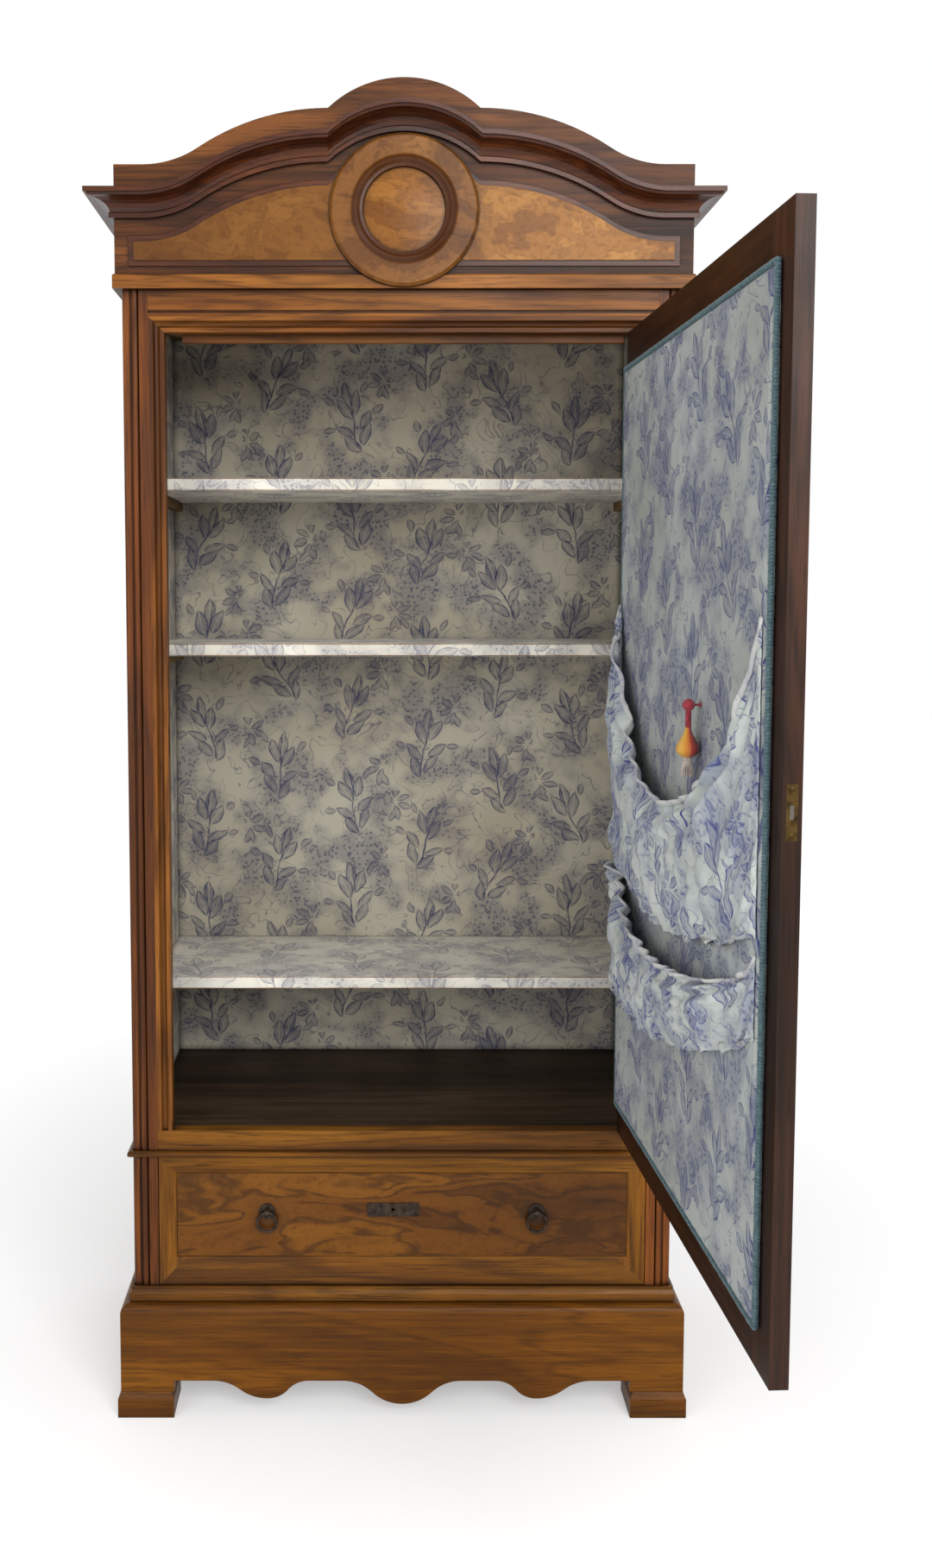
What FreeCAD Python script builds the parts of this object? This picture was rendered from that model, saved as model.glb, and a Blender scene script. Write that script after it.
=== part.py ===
import FreeCAD, Part
import math
import os

# Walnut bonnetiere: a tall one-door cupboard with a drawer, standing open.
# Millimetres, +X right, +Y to the back, +Z up; the origin is on the floor, mid-back.

# overall case
case_width = 960.0
case_depth = 470.0
cut_overrun = 5.0
flat_gap = 0.3

# plinth and feet
plinth_proud = 22.0
plinth_board = 20.0
plinth_height = 185.0
foot_height = 46.0
foot_width = 100.0
foot_depth = 90.0
foot_proud = 5.0
foot_cap = 12.0
foot_cap_inset = 6.0
apron_height = 66.0
apron_lobe_drop = 33.0
apron_centre_drop = 43.0
apron_outer_share = 0.83
apron_lobe_share = 0.59
apron_inner_share = 0.41
apron_centre_share = 0.26
apron_bend_share = 0.5
plinth_moulding_height = 20.0

# front frame
post_width = 45.0
post_depth = 45.0
reed_radius = 6.0
reed_fillet = 3.0
reed_flat = 16.0
rear_stile_width = 45.0
side_thickness = 20.0
bottom_rail_height = 47.0
rail_thickness = 25.0
drawer_opening_height = 237.0
sill_height = 47.0
opening_height = 1395.0
architrave_width = 27.0
architrave_hollow = 6.0
architrave_bead = 7.0
top_rail_height = 44.0
top_groove_width = 5.0
top_groove_depth = 4.0
base_moulding_height = 26.0
base_moulding_proud = 7.0
waist_moulding_height = 11.0
waist_moulding_proud = 8.0

# carcase boards
floor_thickness = 18.0
deck_thickness = 12.0
back_thickness = 14.0
back_board_count = 4
lining_thickness = 6.0
side_lining_thickness = 3.0
side_panel_thickness = 9.0
side_panel_field = 35.0
side_panel_tongue = 8.0
side_panel_slope = 3.0
side_rail_height = 80.0
roof_thickness = 16.0
shelf_thickness = 22.0
shelf_setback = 135.0
shelf_rise_shares = [0.173, 0.617, 0.832]
cleat_size = 18.0
guide_width = 22.0
guide_height = 40.0

# pediment
pediment_proud = 9.0
pediment_board = 22.0
pediment_height = 205.0
crest_shoulder_share = 0.9
crest_junction_half = 128.0
crest_shoulder_rise = 92.0
crest_arch_rise = 50.0
crest_inflection_share = 0.3
crown_drop = 48.0
crown_height = 42.0
crown_proud = 44.0
crown_bead = 8.0
crown_fillet = 8.0
frieze_band_height = 24.0
frieze_band_proud = 4.0
frieze_rail_height = 13.0
frieze_rail_proud = 3.0
frieze_panel_proud = 5.0
frieze_panel_drop = 128.0
frieze_panel_inset = 33.0
frieze_frame_width = 9.0
medallion_radius = 126.0
medallion_ring_radius = 86.0
medallion_field_radius = 70.0
medallion_rise = 128.0
medallion_proud = 14.0
medallion_ring_proud = 20.0
medallion_edge = 5.0

# door
door_thickness = 24.0
door_gap_side = 1.5
door_gap_end = 2.0
door_open_angle = 92.6
door_stile_width = 75.0
door_rail_height = 78.0
door_panel_thickness = 12.0
door_panel_tongue = 8.0
door_panel_field = 40.0
door_panel_slope = 4.0
stop_clearance = 0.5
stop_depth = 15.0
stop_drop = 13.0
stop_end_inset = 28.0
lining_pad = 10.0
lining_edge_free = 42.0
lining_edge_hinge = 14.0
lining_edge_top = 64.0
lining_edge_bottom = 58.0
lining_round = 3.0

# hinges
hinge_axis_proud = 3.0
hinge_barrel_radius = 5.0
hinge_barrel_room = 0.5
hinge_pin_radius = 2.5
hinge_pin_fit = 0.05
hinge_half = 35.0
hinge_leaf_thickness = 2.0
hinge_leaf_depth = 18.0
hinge_end_inset = 200.0
hinge_count = 3

# locks
lock_rise = 694.0
lock_height = 55.0
lock_depth = 46.0
lock_thickness = 10.0
faceplate_height = 66.0
faceplate_width = 14.0
faceplate_thickness = 2.0
bolt_height = 16.0
bolt_thickness = 5.0
bolt_length = 24.0
bolt_throw = 9.0
bolt_room = 0.3
strike_height = 50.0
strike_width = 14.0
strike_thickness = 1.2
escutcheon_height = 44.0
escutcheon_width = 20.0
escutcheon_thickness = 1.5
keyhole_radius = 3.0

# pockets on the door lining, measured from the door's foot and its hinge edge
pocket_wall = 4.0
pocket_gap = 2.0
pocket_hinge_inset = 26.0
pocket_free_inset = 66.0
pocket_upper_lip = 930.0
pocket_upper_foot = 470.0
pocket_upper_sag = 235.0
pocket_lower_lip = 540.0
pocket_lower_foot = 275.0
pocket_lower_sag = 105.0
pocket_lip_bulge = 26.0
pocket_belly_bulge = 46.0
pocket_foot_bulge = 14.0
pocket_belly_share = 0.35

# tassel on the lining above the upper pocket
tassel_rise = 805.0
tassel_place_share = 0.6335
tassel_bead_radius = 8.0
tassel_bead_steps = 5
tassel_neck_radius = 4.5
tassel_body_radius = 13.0
tassel_body_length = 34.0
tassel_skirt_length = 30.0
tassel_skirt_radius = 11.0
tassel_sides = 16

# drawer
drawer_gap = 1.5
drawer_front_thickness = 20.0
drawer_side_thickness = 12.0
drawer_side_height = 170.0
drawer_back_room = 30.0
drawer_bottom_thickness = 7.0
drawer_bottom_rise = 10.0
drawer_bottom_tongue = 6.0
drawer_frame_width = 32.0
drawer_frame_foot = 50.0
drawer_frame_lip = 8.0
drawer_frame_proud = 6.0
drawer_plate_place = -16.0
drawer_plate_rise = 137.0
drawer_plate_width = 92.0
drawer_plate_height = 24.0
drawer_plate_thickness = 1.5
drawer_lock_width = 60.0
drawer_lock_height = 50.0
drawer_lock_depth = 14.0
drawer_bolt_width = 20.0
drawer_bolt_depth = 6.0
drawer_bolt_throw = 8.0
drawer_mortise_room = 2.0

# ring pulls
pull_place = 241.0
pull_rise = 134.0
pull_rose_radius = 14.0
pull_rose_thickness = 2.0
pull_eye_radius = 6.5
pull_eye_width = 8.0
pull_eye_bore = 3.4
pull_eye_reach = 9.0
ring_radius = 17.0
ring_wire = 2.5
ring_sides = 8
ring_chords = 32

# worked-out places
half_case = case_width / 2
front = -case_depth
post_inner = half_case - post_width
post_back = front + post_depth
open_half = post_inner - architrave_width
plinth_half = half_case + plinth_proud
plinth_front_y = front - plinth_proud
drawer_foot = plinth_height + bottom_rail_height
drawer_head = drawer_foot + drawer_opening_height
open_foot = drawer_head + sill_height
open_head = open_foot + opening_height
architrave_head = open_head + architrave_width
frieze_foot = architrave_head + top_rail_height
pediment_y = front - pediment_proud
pediment_half_width = half_case + pediment_proud
crest_shoulder_half = crest_shoulder_share * pediment_half_width
crest_ends = frieze_foot + pediment_height
crown_foot = crest_ends - crown_drop - crown_height
inner_half = half_case - side_thickness
lining_front = -back_thickness - lining_thickness
shelf_front = front + shelf_setback
shelf_half = inner_half - side_lining_thickness
door_width = 2 * open_half - 2 * door_gap_side
door_height = opening_height - 2 * door_gap_end
door_foot = open_foot + door_gap_end
door_right = open_half - door_gap_side
door_left = -door_right
door_back = front + door_thickness
architrave_depth = door_thickness + stop_clearance
axis_x = open_half - door_gap_side / 2
axis_y = front - hinge_axis_proud
lining_face = door_back + lining_pad
drawer_half = post_inner - drawer_gap
drawer_low = drawer_foot + drawer_gap
drawer_top = drawer_head - drawer_gap
drawer_face = front + drawer_frame_proud
drawer_back_y = drawer_face + drawer_front_thickness
medallion_z = frieze_foot + medallion_rise
up = FreeCAD.Vector(0, 0, 1)
along_x = FreeCAD.Vector(1, 0, 0)
along_y = FreeCAD.Vector(0, 1, 0)


def vec(x, y, z):
    return FreeCAD.Vector(x, y, z)


def block(x0, x1, y0, y1, z0, z1):
    return Part.makeBox(x1 - x0, y1 - y0, z1 - z0, vec(x0, y0, z0))


def polygon(points):
    return Part.makePolygon(points + [points[0]])


def prism(points, direction):
    return Part.Face(polygon(points)).extrude(direction)


def mirror_x(shape):
    return shape.mirror(vec(0, 0, 0), along_x)


def both_sides(shape):
    return [mirror_x(shape), shape]


def save(name, shapes):
    shape = shapes[0] if len(shapes) == 1 else Part.makeCompound(shapes)
    if not shape.isValid():
        print("check this shape:", name)
    shape.exportStep("parts/" + name + ".step")


def bridge(start, end):
    # closed solid between two like polygons, with straight edges from point to point
    faces = [Part.Face(polygon(start)), Part.Face(polygon(end))]
    for i in range(len(start)):
        j = (i + 1) % len(start)
        faces.append(Part.Face(polygon([start[i], start[j], end[j], end[i]])))
    return solid_from(faces)


def solid_from(faces):
    skin = Part.makeCompound(faces)
    skin.sewShape()
    solid = Part.makeSolid(skin.Shells[0])
    if solid.Volume < 0:
        solid.reverse()
    return solid


def turned(outline, centre, axis, sides):
    # a turned form in flat facets; points of the outline on the axis stay put
    turns = [FreeCAD.Rotation(axis, 360.0 * i / sides) for i in range(sides)]
    sections = [[centre + turn.multVec(point - centre) for point in outline] for turn in turns]
    faces = []
    for a, b in zip(sections, sections[1:] + sections[:1]):
        for k in range(len(outline)):
            facet = []
            for point in (a[k - 1], a[k], b[k], b[k - 1]):
                if all(point.distanceToPoint(other) > flat_gap / 100 for other in facet):
                    facet.append(point)
            if len(facet) > 2:
                faces.append(Part.Face(polygon(facet)))
    return solid_from(faces)


def arc_through(start, middle, end):
    return Part.Arc(start, middle, end).toShape()


def mitred_run(profile, half_width, front_y):
    # one moulding round the front and both sides; profile holds (reach out, height)
    def corner(sign):
        return [vec(sign * (half_width + out), front_y - out, z) for out, z in profile]
    def tail(sign):
        return [vec(sign * (half_width + out), 0, z) for out, z in profile]
    return [bridge(corner(-1), corner(1)), bridge(corner(-1), tail(-1)), bridge(corner(1), tail(1))]


def hollow_curve(x0, z0, x1, z1, steps):
    # quarter hollow from a vertical start to a level end, as chords
    points = []
    for i in range(steps + 1):
        turn = math.pi / 2 * i / steps
        points.append((x0 + (x1 - x0) * (1 - math.cos(turn)), z0 + (z1 - z0) * math.sin(turn)))
    return points


def fielded_panel(x0, x1, z0, z1, y_front, y_back, field, slope, sign):
    # board with a bevelled border on the face that looks along sign * Y
    face_y = y_front if sign < 0 else y_back
    edge_y = face_y - sign * slope
    rear_y = y_back if sign < 0 else y_front
    core = [vec(x0, rear_y, z0), vec(x1, rear_y, z0), vec(x1, rear_y, z1), vec(x0, rear_y, z1)]
    board = prism(core, vec(0, edge_y - rear_y, 0))
    rim = [vec(x0, edge_y, z0), vec(x1, edge_y, z0), vec(x1, edge_y, z1), vec(x0, edge_y, z1)]
    top = [vec(x0 + field, face_y, z0 + field), vec(x1 - field, face_y, z0 + field),
           vec(x1 - field, face_y, z1 - field), vec(x0 + field, face_y, z1 - field)]
    return board.fuse(bridge(rim, top)).removeSplitter()


# plinth and feet
def make_foot(y_front):
    x_out = plinth_half + foot_proud
    x_in = x_out - foot_width
    y_back = y_front + foot_depth
    low = block(x_in, x_out, y_front, y_back, 0, foot_height - foot_cap)
    base = [vec(x_in, y_front, foot_height - foot_cap), vec(x_out, y_front, foot_height - foot_cap),
            vec(x_out, y_back, foot_height - foot_cap), vec(x_in, y_back, foot_height - foot_cap)]
    inset = foot_cap_inset
    top = [vec(x_in + inset, y_front + inset, foot_height), vec(x_out - inset, y_front + inset, foot_height),
           vec(x_out - inset, y_back - inset, foot_height), vec(x_in + inset, y_back - inset, foot_height)]
    return low.fuse(bridge(base, top)).removeSplitter()


def ogee(x0, z0, x1, z1, y, share):
    # two arcs from one height to another, level at both ends, that turn over at a share of the way
    dx = x1 - x0
    dz = z1 - z0
    turn = 2 * math.atan(abs(dz / dx))
    def quarter(x, z, run, rise):
        radius = abs(run) / math.sin(turn)
        across = math.copysign(radius * math.sin(turn / 2), run)
        up_or_down = math.copysign(radius * (1 - math.cos(turn / 2)), rise)
        return vec(x + across, y, z + up_or_down)
    bend = vec(x0 + share * dx, y, z0 + share * dz)
    first = quarter(x0, z0, share * dx, dz)
    last = quarter(x1, z1, (share - 1) * dx, -dz)
    return [arc_through(vec(x0, y, z0), first, bend), arc_through(bend, last, vec(x1, y, z1))]


def make_plinth():
    y = plinth_front_y
    foot_in = plinth_half + foot_proud - foot_width
    high = apron_height
    low = apron_height - apron_lobe_drop
    lowest = apron_height - apron_centre_drop
    outer, lobe, inner, centre = [share * foot_in for share in (apron_outer_share, apron_lobe_share,
                                                                 apron_inner_share, apron_centre_share)]
    stations = [(-foot_in, high), (-outer, high), (-lobe, low), (-inner, high), (-centre, high), (0, lowest),
                (centre, high), (inner, high), (lobe, low), (outer, high)]
    edges = []
    for (x0, z0), (x1, z1) in zip(stations, stations[1:]):
        if z0 == z1:
            edges.append(Part.makeLine(vec(x0, y, z0), vec(x1, y, z1)))
        else:
            edges += ogee(x0, z0, x1, z1, y, apron_bend_share)
    pen = vec(outer, y, high)
    corner_points = [pen, vec(foot_in, y, apron_height), vec(foot_in, y, foot_height),
                     vec(plinth_half, y, foot_height), vec(plinth_half, y, plinth_height),
                     vec(-plinth_half, y, plinth_height), vec(-plinth_half, y, foot_height),
                     vec(-foot_in, y, foot_height), vec(-foot_in, y, apron_height)]
    for a, b in zip(corner_points, corner_points[1:]):
        edges.append(Part.makeLine(a, b))
    board = Part.Face(Part.Wire(edges)).extrude(vec(0, plinth_board, 0))
    save("plinth_front", [board])
    side = block(plinth_half - plinth_board, plinth_half, y + plinth_board, 0, foot_height, plinth_height)
    save("plinth_sides", both_sides(side))
    back_in = plinth_half - plinth_board
    feet_clear = plinth_half + foot_proud - foot_width - flat_gap
    rear = block(-back_in, back_in, -plinth_board, 0, foot_height, plinth_height)
    rear = rear.fuse(block(-feet_clear, feet_clear, -plinth_board, 0, 0, foot_height)).removeSplitter()
    save("plinth_back", [rear])
    save("front_feet", both_sides(make_foot(y - foot_proud)))
    save("rear_feet", both_sides(make_foot(-foot_depth)))
    top = plinth_height + plinth_moulding_height
    out = plinth_proud
    profile = [(0, plinth_height), (out, plinth_height), (out, plinth_height + plinth_moulding_height / 4)]
    profile += [(out - o, z) for o, z in hollow_curve(0, profile[-1][1], out - reed_fillet, top, 5)][1:]
    profile.append((0, top))
    save("plinth_moulding", mitred_run(profile, half_case, front))


# posts, rails and sides
def make_posts():
    r = reed_radius
    step = reed_fillet
    x_flat = post_inner + reed_flat
    reed_left = x_flat + step / 2
    reed_right = reed_left + 2 * r
    y_low = front + r
    bend = r * math.sqrt(0.5)
    edges = []
    edges.append(Part.makeLine(vec(post_inner, front, 0), vec(x_flat, front, 0)))
    edges.append(Part.makeLine(vec(x_flat, front, 0), vec(reed_left, y_low, 0)))
    edges.append(arc_through(vec(reed_left, y_low, 0), vec(reed_left + r, front, 0), vec(reed_right, y_low, 0)))
    corner_x = reed_right + step
    edges.append(Part.makeLine(vec(reed_right, y_low, 0), vec(corner_x, y_low, 0)))
    edges.append(Part.makeLine(vec(corner_x, y_low, 0), vec(corner_x, front + step, 0)))
    edges.append(Part.makeLine(vec(corner_x, front + step, 0), vec(half_case - r, front + step, 0)))
    edges.append(arc_through(vec(half_case - r, front + step, 0),
                             vec(half_case - r + bend, front + step + r - bend, 0),
                             vec(half_case, front + step + r, 0)))
    edges.append(Part.makeLine(vec(half_case, front + step + r, 0), vec(half_case, post_back, 0)))
    edges.append(Part.makeLine(vec(half_case, post_back, 0), vec(post_inner, post_back, 0)))
    edges.append(Part.makeLine(vec(post_inner, post_back, 0), vec(post_inner, front, 0)))
    face = Part.Face(Part.Wire(edges))
    post = face.extrude(vec(0, 0, frieze_foot - plinth_height))
    post.translate(vec(0, 0, plinth_height))
    post = post.cut(side_panel_room())
    save("front_posts", both_sides(post))
    stile = block(inner_half, half_case, -rear_stile_width, 0, plinth_height, frieze_foot)
    stile = stile.cut(side_panel_room())
    y0 = post_back
    y1 = -rear_stile_width
    low = block(inner_half, half_case, y0, y1, plinth_height, plinth_height + side_rail_height)
    high = block(inner_half, half_case, y0, y1, frieze_foot - side_rail_height, frieze_foot)
    rails = both_sides(low.cut(side_panel_room())) + both_sides(high.cut(side_panel_room()))
    save("side_frames", both_sides(stile) + rails)
    save("side_panels", both_sides(side_panel()))


def side_panel_box(extra):
    tongue = side_panel_tongue + extra
    x_mid = half_case - side_thickness / 2
    half = side_panel_thickness / 2 + extra
    return block(x_mid - half, x_mid + half, post_back - tongue, -rear_stile_width + tongue,
                 plinth_height + side_rail_height - tongue, frieze_foot - side_rail_height + tongue)


def side_panel_room():
    return side_panel_box(flat_gap)


def side_panel():
    # built facing -Y, then turned to face outwards
    z0 = plinth_height + side_rail_height - side_panel_tongue
    z1 = frieze_foot - side_rail_height + side_panel_tongue
    y0 = post_back - side_panel_tongue
    y1 = -rear_stile_width + side_panel_tongue
    x_mid = half_case - side_thickness / 2
    half = side_panel_thickness / 2
    panel = fielded_panel(y0, y1, z0, z1, -half, half, side_panel_field, side_panel_slope, -1)
    panel.rotate(vec(0, 0, 0), up, 90)
    panel.translate(vec(x_mid, 0, 0))
    return panel


def make_front_rails():
    bottom = block(-post_inner, post_inner, front, front + rail_thickness, plinth_height, drawer_foot)
    save("bottom_rail", [bottom])
    z0 = drawer_foot - base_moulding_height
    h = base_moulding_height
    profile = [(0, z0), (base_moulding_proud, z0)]
    profile.append((base_moulding_proud, z0 + h / 2))
    profile.append((base_moulding_proud / 2, z0 + h * 3 / 4))
    profile.append((base_moulding_proud * 3 / 4, z0 + h))
    profile.append((0, z0 + h))
    save("base_moulding", mitred_run(profile, half_case, front))
    sill = block(-post_inner, post_inner, front, front + rail_thickness, drawer_head, open_foot)
    sill = sill.cut(drawer_bolt_mortise())
    save("sill_rail", [sill])
    p = waist_moulding_proud
    w = waist_moulding_height
    z1 = drawer_head
    waist = [(0, z1), (p / 2, z1), (p, z1 + w / 4), (p, z1 + w * 3 / 4), (p / 2, z1 + w), (0, z1 + w)]
    save("waist_moulding", mitred_run(waist, half_case, front))
    rail = block(-post_inner, post_inner, front, front + rail_thickness, architrave_head, frieze_foot)
    groove_z = architrave_head + top_groove_width
    groove = block(-post_inner - cut_overrun, post_inner + cut_overrun, front - cut_overrun,
                   front + top_groove_depth, groove_z, groove_z + top_groove_width)
    save("top_rail", [rail.cut(groove)])


# moulded frame round the opening, mitred at the upper corners
def architrave_profile():
    w = architrave_width
    bead = architrave_bead
    points = [(0, 0), (bead, 0)]
    hollow_width = w - 2 * bead
    for i in range(1, 6):
        share = i / 6
        points.append((bead + hollow_width * share, architrave_hollow * math.sin(math.pi * share)))
    points += [(w - bead, 0), (w, 0), (w, architrave_depth), (0, architrave_depth)]
    return points


def make_architrave():
    profile = architrave_profile()
    def jamb_foot():
        return [vec(open_half + d, front + y, open_foot) for d, y in profile]
    def corner(sign):
        return [vec(sign * (open_half + d), front + y, open_head + d) for d, y in profile]
    jamb = bridge(jamb_foot(), corner(1))
    left = mirror_x(jamb).cut(door_bolt_room()).cut(strike_box(flat_gap))
    right = jamb
    for z in hinge_places():
        right = right.cut(hinge_leaf(1, z)).cut(hinge_barrel_space(z))
    head = bridge(corner(-1), corner(1))
    save("architrave", [left, right, head])
    stop_y = front + architrave_depth
    stop_half = open_half - stop_end_inset
    stop = block(-stop_half, stop_half, stop_y, stop_y + stop_depth, open_head - stop_drop, architrave_head)
    save("door_stop", [stop])


# hinges: a leaf in the frame with its pin, a leaf in the door with its barrel
def hinge_places():
    span = door_height - 2 * hinge_end_inset
    return [door_foot + hinge_end_inset + span * i / (hinge_count - 1) for i in range(hinge_count)]


def hinge_barrel_space(z):
    room = hinge_barrel_radius + hinge_barrel_room
    return Part.makeCylinder(room, 2 * hinge_half + 2 * flat_gap, vec(axis_x, axis_y, z - hinge_half - flat_gap))


def hinge_leaf(sign, z):
    # thin plate let into the frame (sign 1) or the door edge (sign -1)
    gap = door_gap_side / 2
    x0 = axis_x + sign * gap
    x1 = x0 + sign * hinge_leaf_thickness
    return block(min(x0, x1), max(x0, x1), axis_y, front + hinge_leaf_depth, z - hinge_half, z + hinge_half)


def barrel(z0, z1):
    return Part.makeCylinder(hinge_barrel_radius, z1 - z0, vec(axis_x, axis_y, z0))


def make_hinges():
    frame_side = []
    door_side = []
    for z in hinge_places():
        low = z - hinge_half
        high = z + hinge_half
        keep_low = block(axis_x - hinge_leaf_depth, axis_x + hinge_leaf_depth, axis_y - hinge_leaf_depth,
                         front + case_depth, low - cut_overrun, z)
        whole_room = Part.makeCylinder(hinge_barrel_radius + hinge_barrel_room, z + flat_gap - low + cut_overrun,
                                       vec(axis_x, axis_y, low - cut_overrun))
        upper_room = Part.makeCylinder(hinge_barrel_radius + hinge_barrel_room, high - z + cut_overrun,
                                       vec(axis_x, axis_y, z - flat_gap))
        fixed = hinge_leaf(1, z).cut(upper_room).fuse(barrel(low, z))
        pin = Part.makeCylinder(hinge_pin_radius, high - z, vec(axis_x, axis_y, z))
        frame_side.append(fixed.fuse(pin).removeSplitter())
        moving = hinge_leaf(-1, z).cut(whole_room).fuse(barrel(z + flat_gap, high))
        bore = Part.makeCylinder(hinge_pin_radius + hinge_pin_fit, high - low + cut_overrun,
                                 vec(axis_x, axis_y, low))
        door_side.append(moving.cut(bore).removeSplitter())
    save("hinge_frame_leaves", frame_side)
    save("hinge_door_leaves", [opened(s) for s in door_side])


def opened(shape):
    # the door is modelled shut and then swung to its open rest place
    turned = shape.copy()
    turned.rotate(vec(axis_x, axis_y, 0), up, door_open_angle)
    return turned


# boards inside
def corner_notches(z0, z1):
    cuts = []
    for sign in (-1, 1):
        x0 = sign * post_inner
        x1 = sign * (half_case + cut_overrun)
        cuts.append(block(min(x0, x1), max(x0, x1), front - cut_overrun, post_back, z0 - cut_overrun,
                          z1 + cut_overrun))
    return cuts


def make_inside():
    y0 = front + rail_thickness
    floor_board = block(-inner_half, inner_half, y0, -back_thickness, open_foot - floor_thickness, open_foot)
    deck = block(-inner_half, inner_half, y0, -back_thickness, drawer_foot - deck_thickness, drawer_foot)
    for notch in corner_notches(open_foot - floor_thickness, open_foot):
        floor_board = floor_board.cut(notch)
    for notch in corner_notches(drawer_foot - deck_thickness, drawer_foot):
        deck = deck.cut(notch)
    save("cabinet_floor", [floor_board])
    save("drawer_deck", [deck])
    guide = block(post_inner, post_inner + guide_width, post_back, -back_thickness, drawer_foot,
                  drawer_foot + guide_height)
    save("drawer_guides", both_sides(guide))
    boards = []
    width = 2 * inner_half / back_board_count
    for i in range(back_board_count):
        x0 = -inner_half + i * width
        boards.append(block(x0, x0 + width, -back_thickness, 0, plinth_height, frieze_foot))
    save("back_boards", boards)
    lining = block(-shelf_half, shelf_half, lining_front, -back_thickness, open_foot, frieze_foot)
    save("back_lining", [lining])
    side = block(shelf_half, inner_half, post_back, lining_front, open_foot, frieze_foot)
    back_part = block(shelf_half, inner_half, lining_front, -back_thickness, open_foot, frieze_foot)
    save("side_linings", both_sides(side.fuse(back_part).removeSplitter()))
    roof = block(-pediment_half_width + plinth_board, pediment_half_width - plinth_board,
                 pediment_y + pediment_board, 0, frieze_foot, frieze_foot + roof_thickness)
    save("roof_board", [roof])
    names = ["shelf_lower", "shelf_middle", "shelf_upper"]
    cleats = []
    for name, share in zip(names, shelf_rise_shares):
        top = open_foot + share * opening_height
        low = top - shelf_thickness
        save(name, [block(-shelf_half, shelf_half, shelf_front, lining_front, low, top)])
        cleat = block(shelf_half - cleat_size, shelf_half, shelf_front + cleat_size, lining_front,
                      low - cleat_size, low)
        cleats += both_sides(cleat)
    save("shelf_cleats", cleats)


# pediment
def crest_edges(half_end, y, z):
    # level end, hollow, shoulder, arch and the same again; z is the height of the level ends
    run = crest_shoulder_half - crest_junction_half
    turn = 2 * math.atan(crest_shoulder_rise / run)
    hollow = crest_inflection_share * run / math.sin(turn)
    shoulder = (1 - crest_inflection_share) * run / math.sin(turn)
    x_mid = crest_shoulder_half - crest_inflection_share * run
    z_mid = z + crest_inflection_share * crest_shoulder_rise
    z_top = z + crest_shoulder_rise
    half_turn = turn / 2
    def at(x, height):
        return vec(x, y, height)
    hollow_middle = (crest_shoulder_half - hollow * math.sin(half_turn), z + hollow * (1 - math.cos(half_turn)))
    shoulder_middle = (crest_junction_half + shoulder * math.sin(half_turn),
                       z_top - shoulder * (1 - math.cos(half_turn)))
    right = [arc_through(at(crest_junction_half, z_top), at(*shoulder_middle), at(x_mid, z_mid)),
             arc_through(at(x_mid, z_mid), at(*hollow_middle), at(crest_shoulder_half, z))]
    left = [arc_through(at(-crest_shoulder_half, z), at(-hollow_middle[0], hollow_middle[1]), at(-x_mid, z_mid)),
            arc_through(at(-x_mid, z_mid), at(-shoulder_middle[0], shoulder_middle[1]),
                        at(-crest_junction_half, z_top))]
    arch = arc_through(at(-crest_junction_half, z_top), at(0, z_top + crest_arch_rise),
                       at(crest_junction_half, z_top))
    ends = []
    if half_end > crest_shoulder_half:
        ends = [Part.makeLine(at(-half_end, z), at(-crest_shoulder_half, z)),
                Part.makeLine(at(crest_shoulder_half, z), at(half_end, z))]
        return [ends[0]] + left + [arch] + right + [ends[1]]
    return left + [arch] + right


def crown_profile():
    b = crown_bead
    f = crown_fillet
    points = [(0, 0), (b, 0), (b, b), (b - f / 4, b + f / 4)]
    cove_top = crown_height - f - f / 2
    cove_out = crown_proud - f / 2
    for i in range(1, 6):
        turn = math.pi / 2 * i / 5
        points.append((b - f / 4 + (cove_out - b) * (1 - math.cos(turn)),
                       b + f / 4 + (cove_top - b - f / 4) * math.sin(turn)))
    points += [(cove_out, crown_height - f), (crown_proud, crown_height - f), (crown_proud, crown_height),
               (0, crown_height)]
    return points


def make_pediment():
    y = pediment_y
    hw = pediment_half_width
    edges = crest_edges(hw, y, crest_ends)
    edges.append(Part.makeLine(vec(hw, y, crest_ends), vec(hw, y, frieze_foot)))
    edges.append(Part.makeLine(vec(hw, y, frieze_foot), vec(-hw, y, frieze_foot)))
    edges.append(Part.makeLine(vec(-hw, y, frieze_foot), vec(-hw, y, crest_ends)))
    board = Part.Face(Part.Wire(edges)).extrude(vec(0, pediment_board, 0))
    save("pediment_board", [board])
    side = block(hw - plinth_board, hw, y + pediment_board, 0, frieze_foot, crest_ends)
    save("pediment_sides", both_sides(side))
    band = [(0, frieze_foot), (frieze_band_proud, frieze_foot),
            (frieze_band_proud, frieze_foot + frieze_band_height - frieze_band_proud / 2),
            (frieze_band_proud / 2, frieze_foot + frieze_band_height), (0, frieze_foot + frieze_band_height)]
    plug = medallion_plug(medallion_radius + flat_gap)
    save("frieze_band", [piece.cut(plug) for piece in mitred_run(band, hw, y)])


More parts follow.
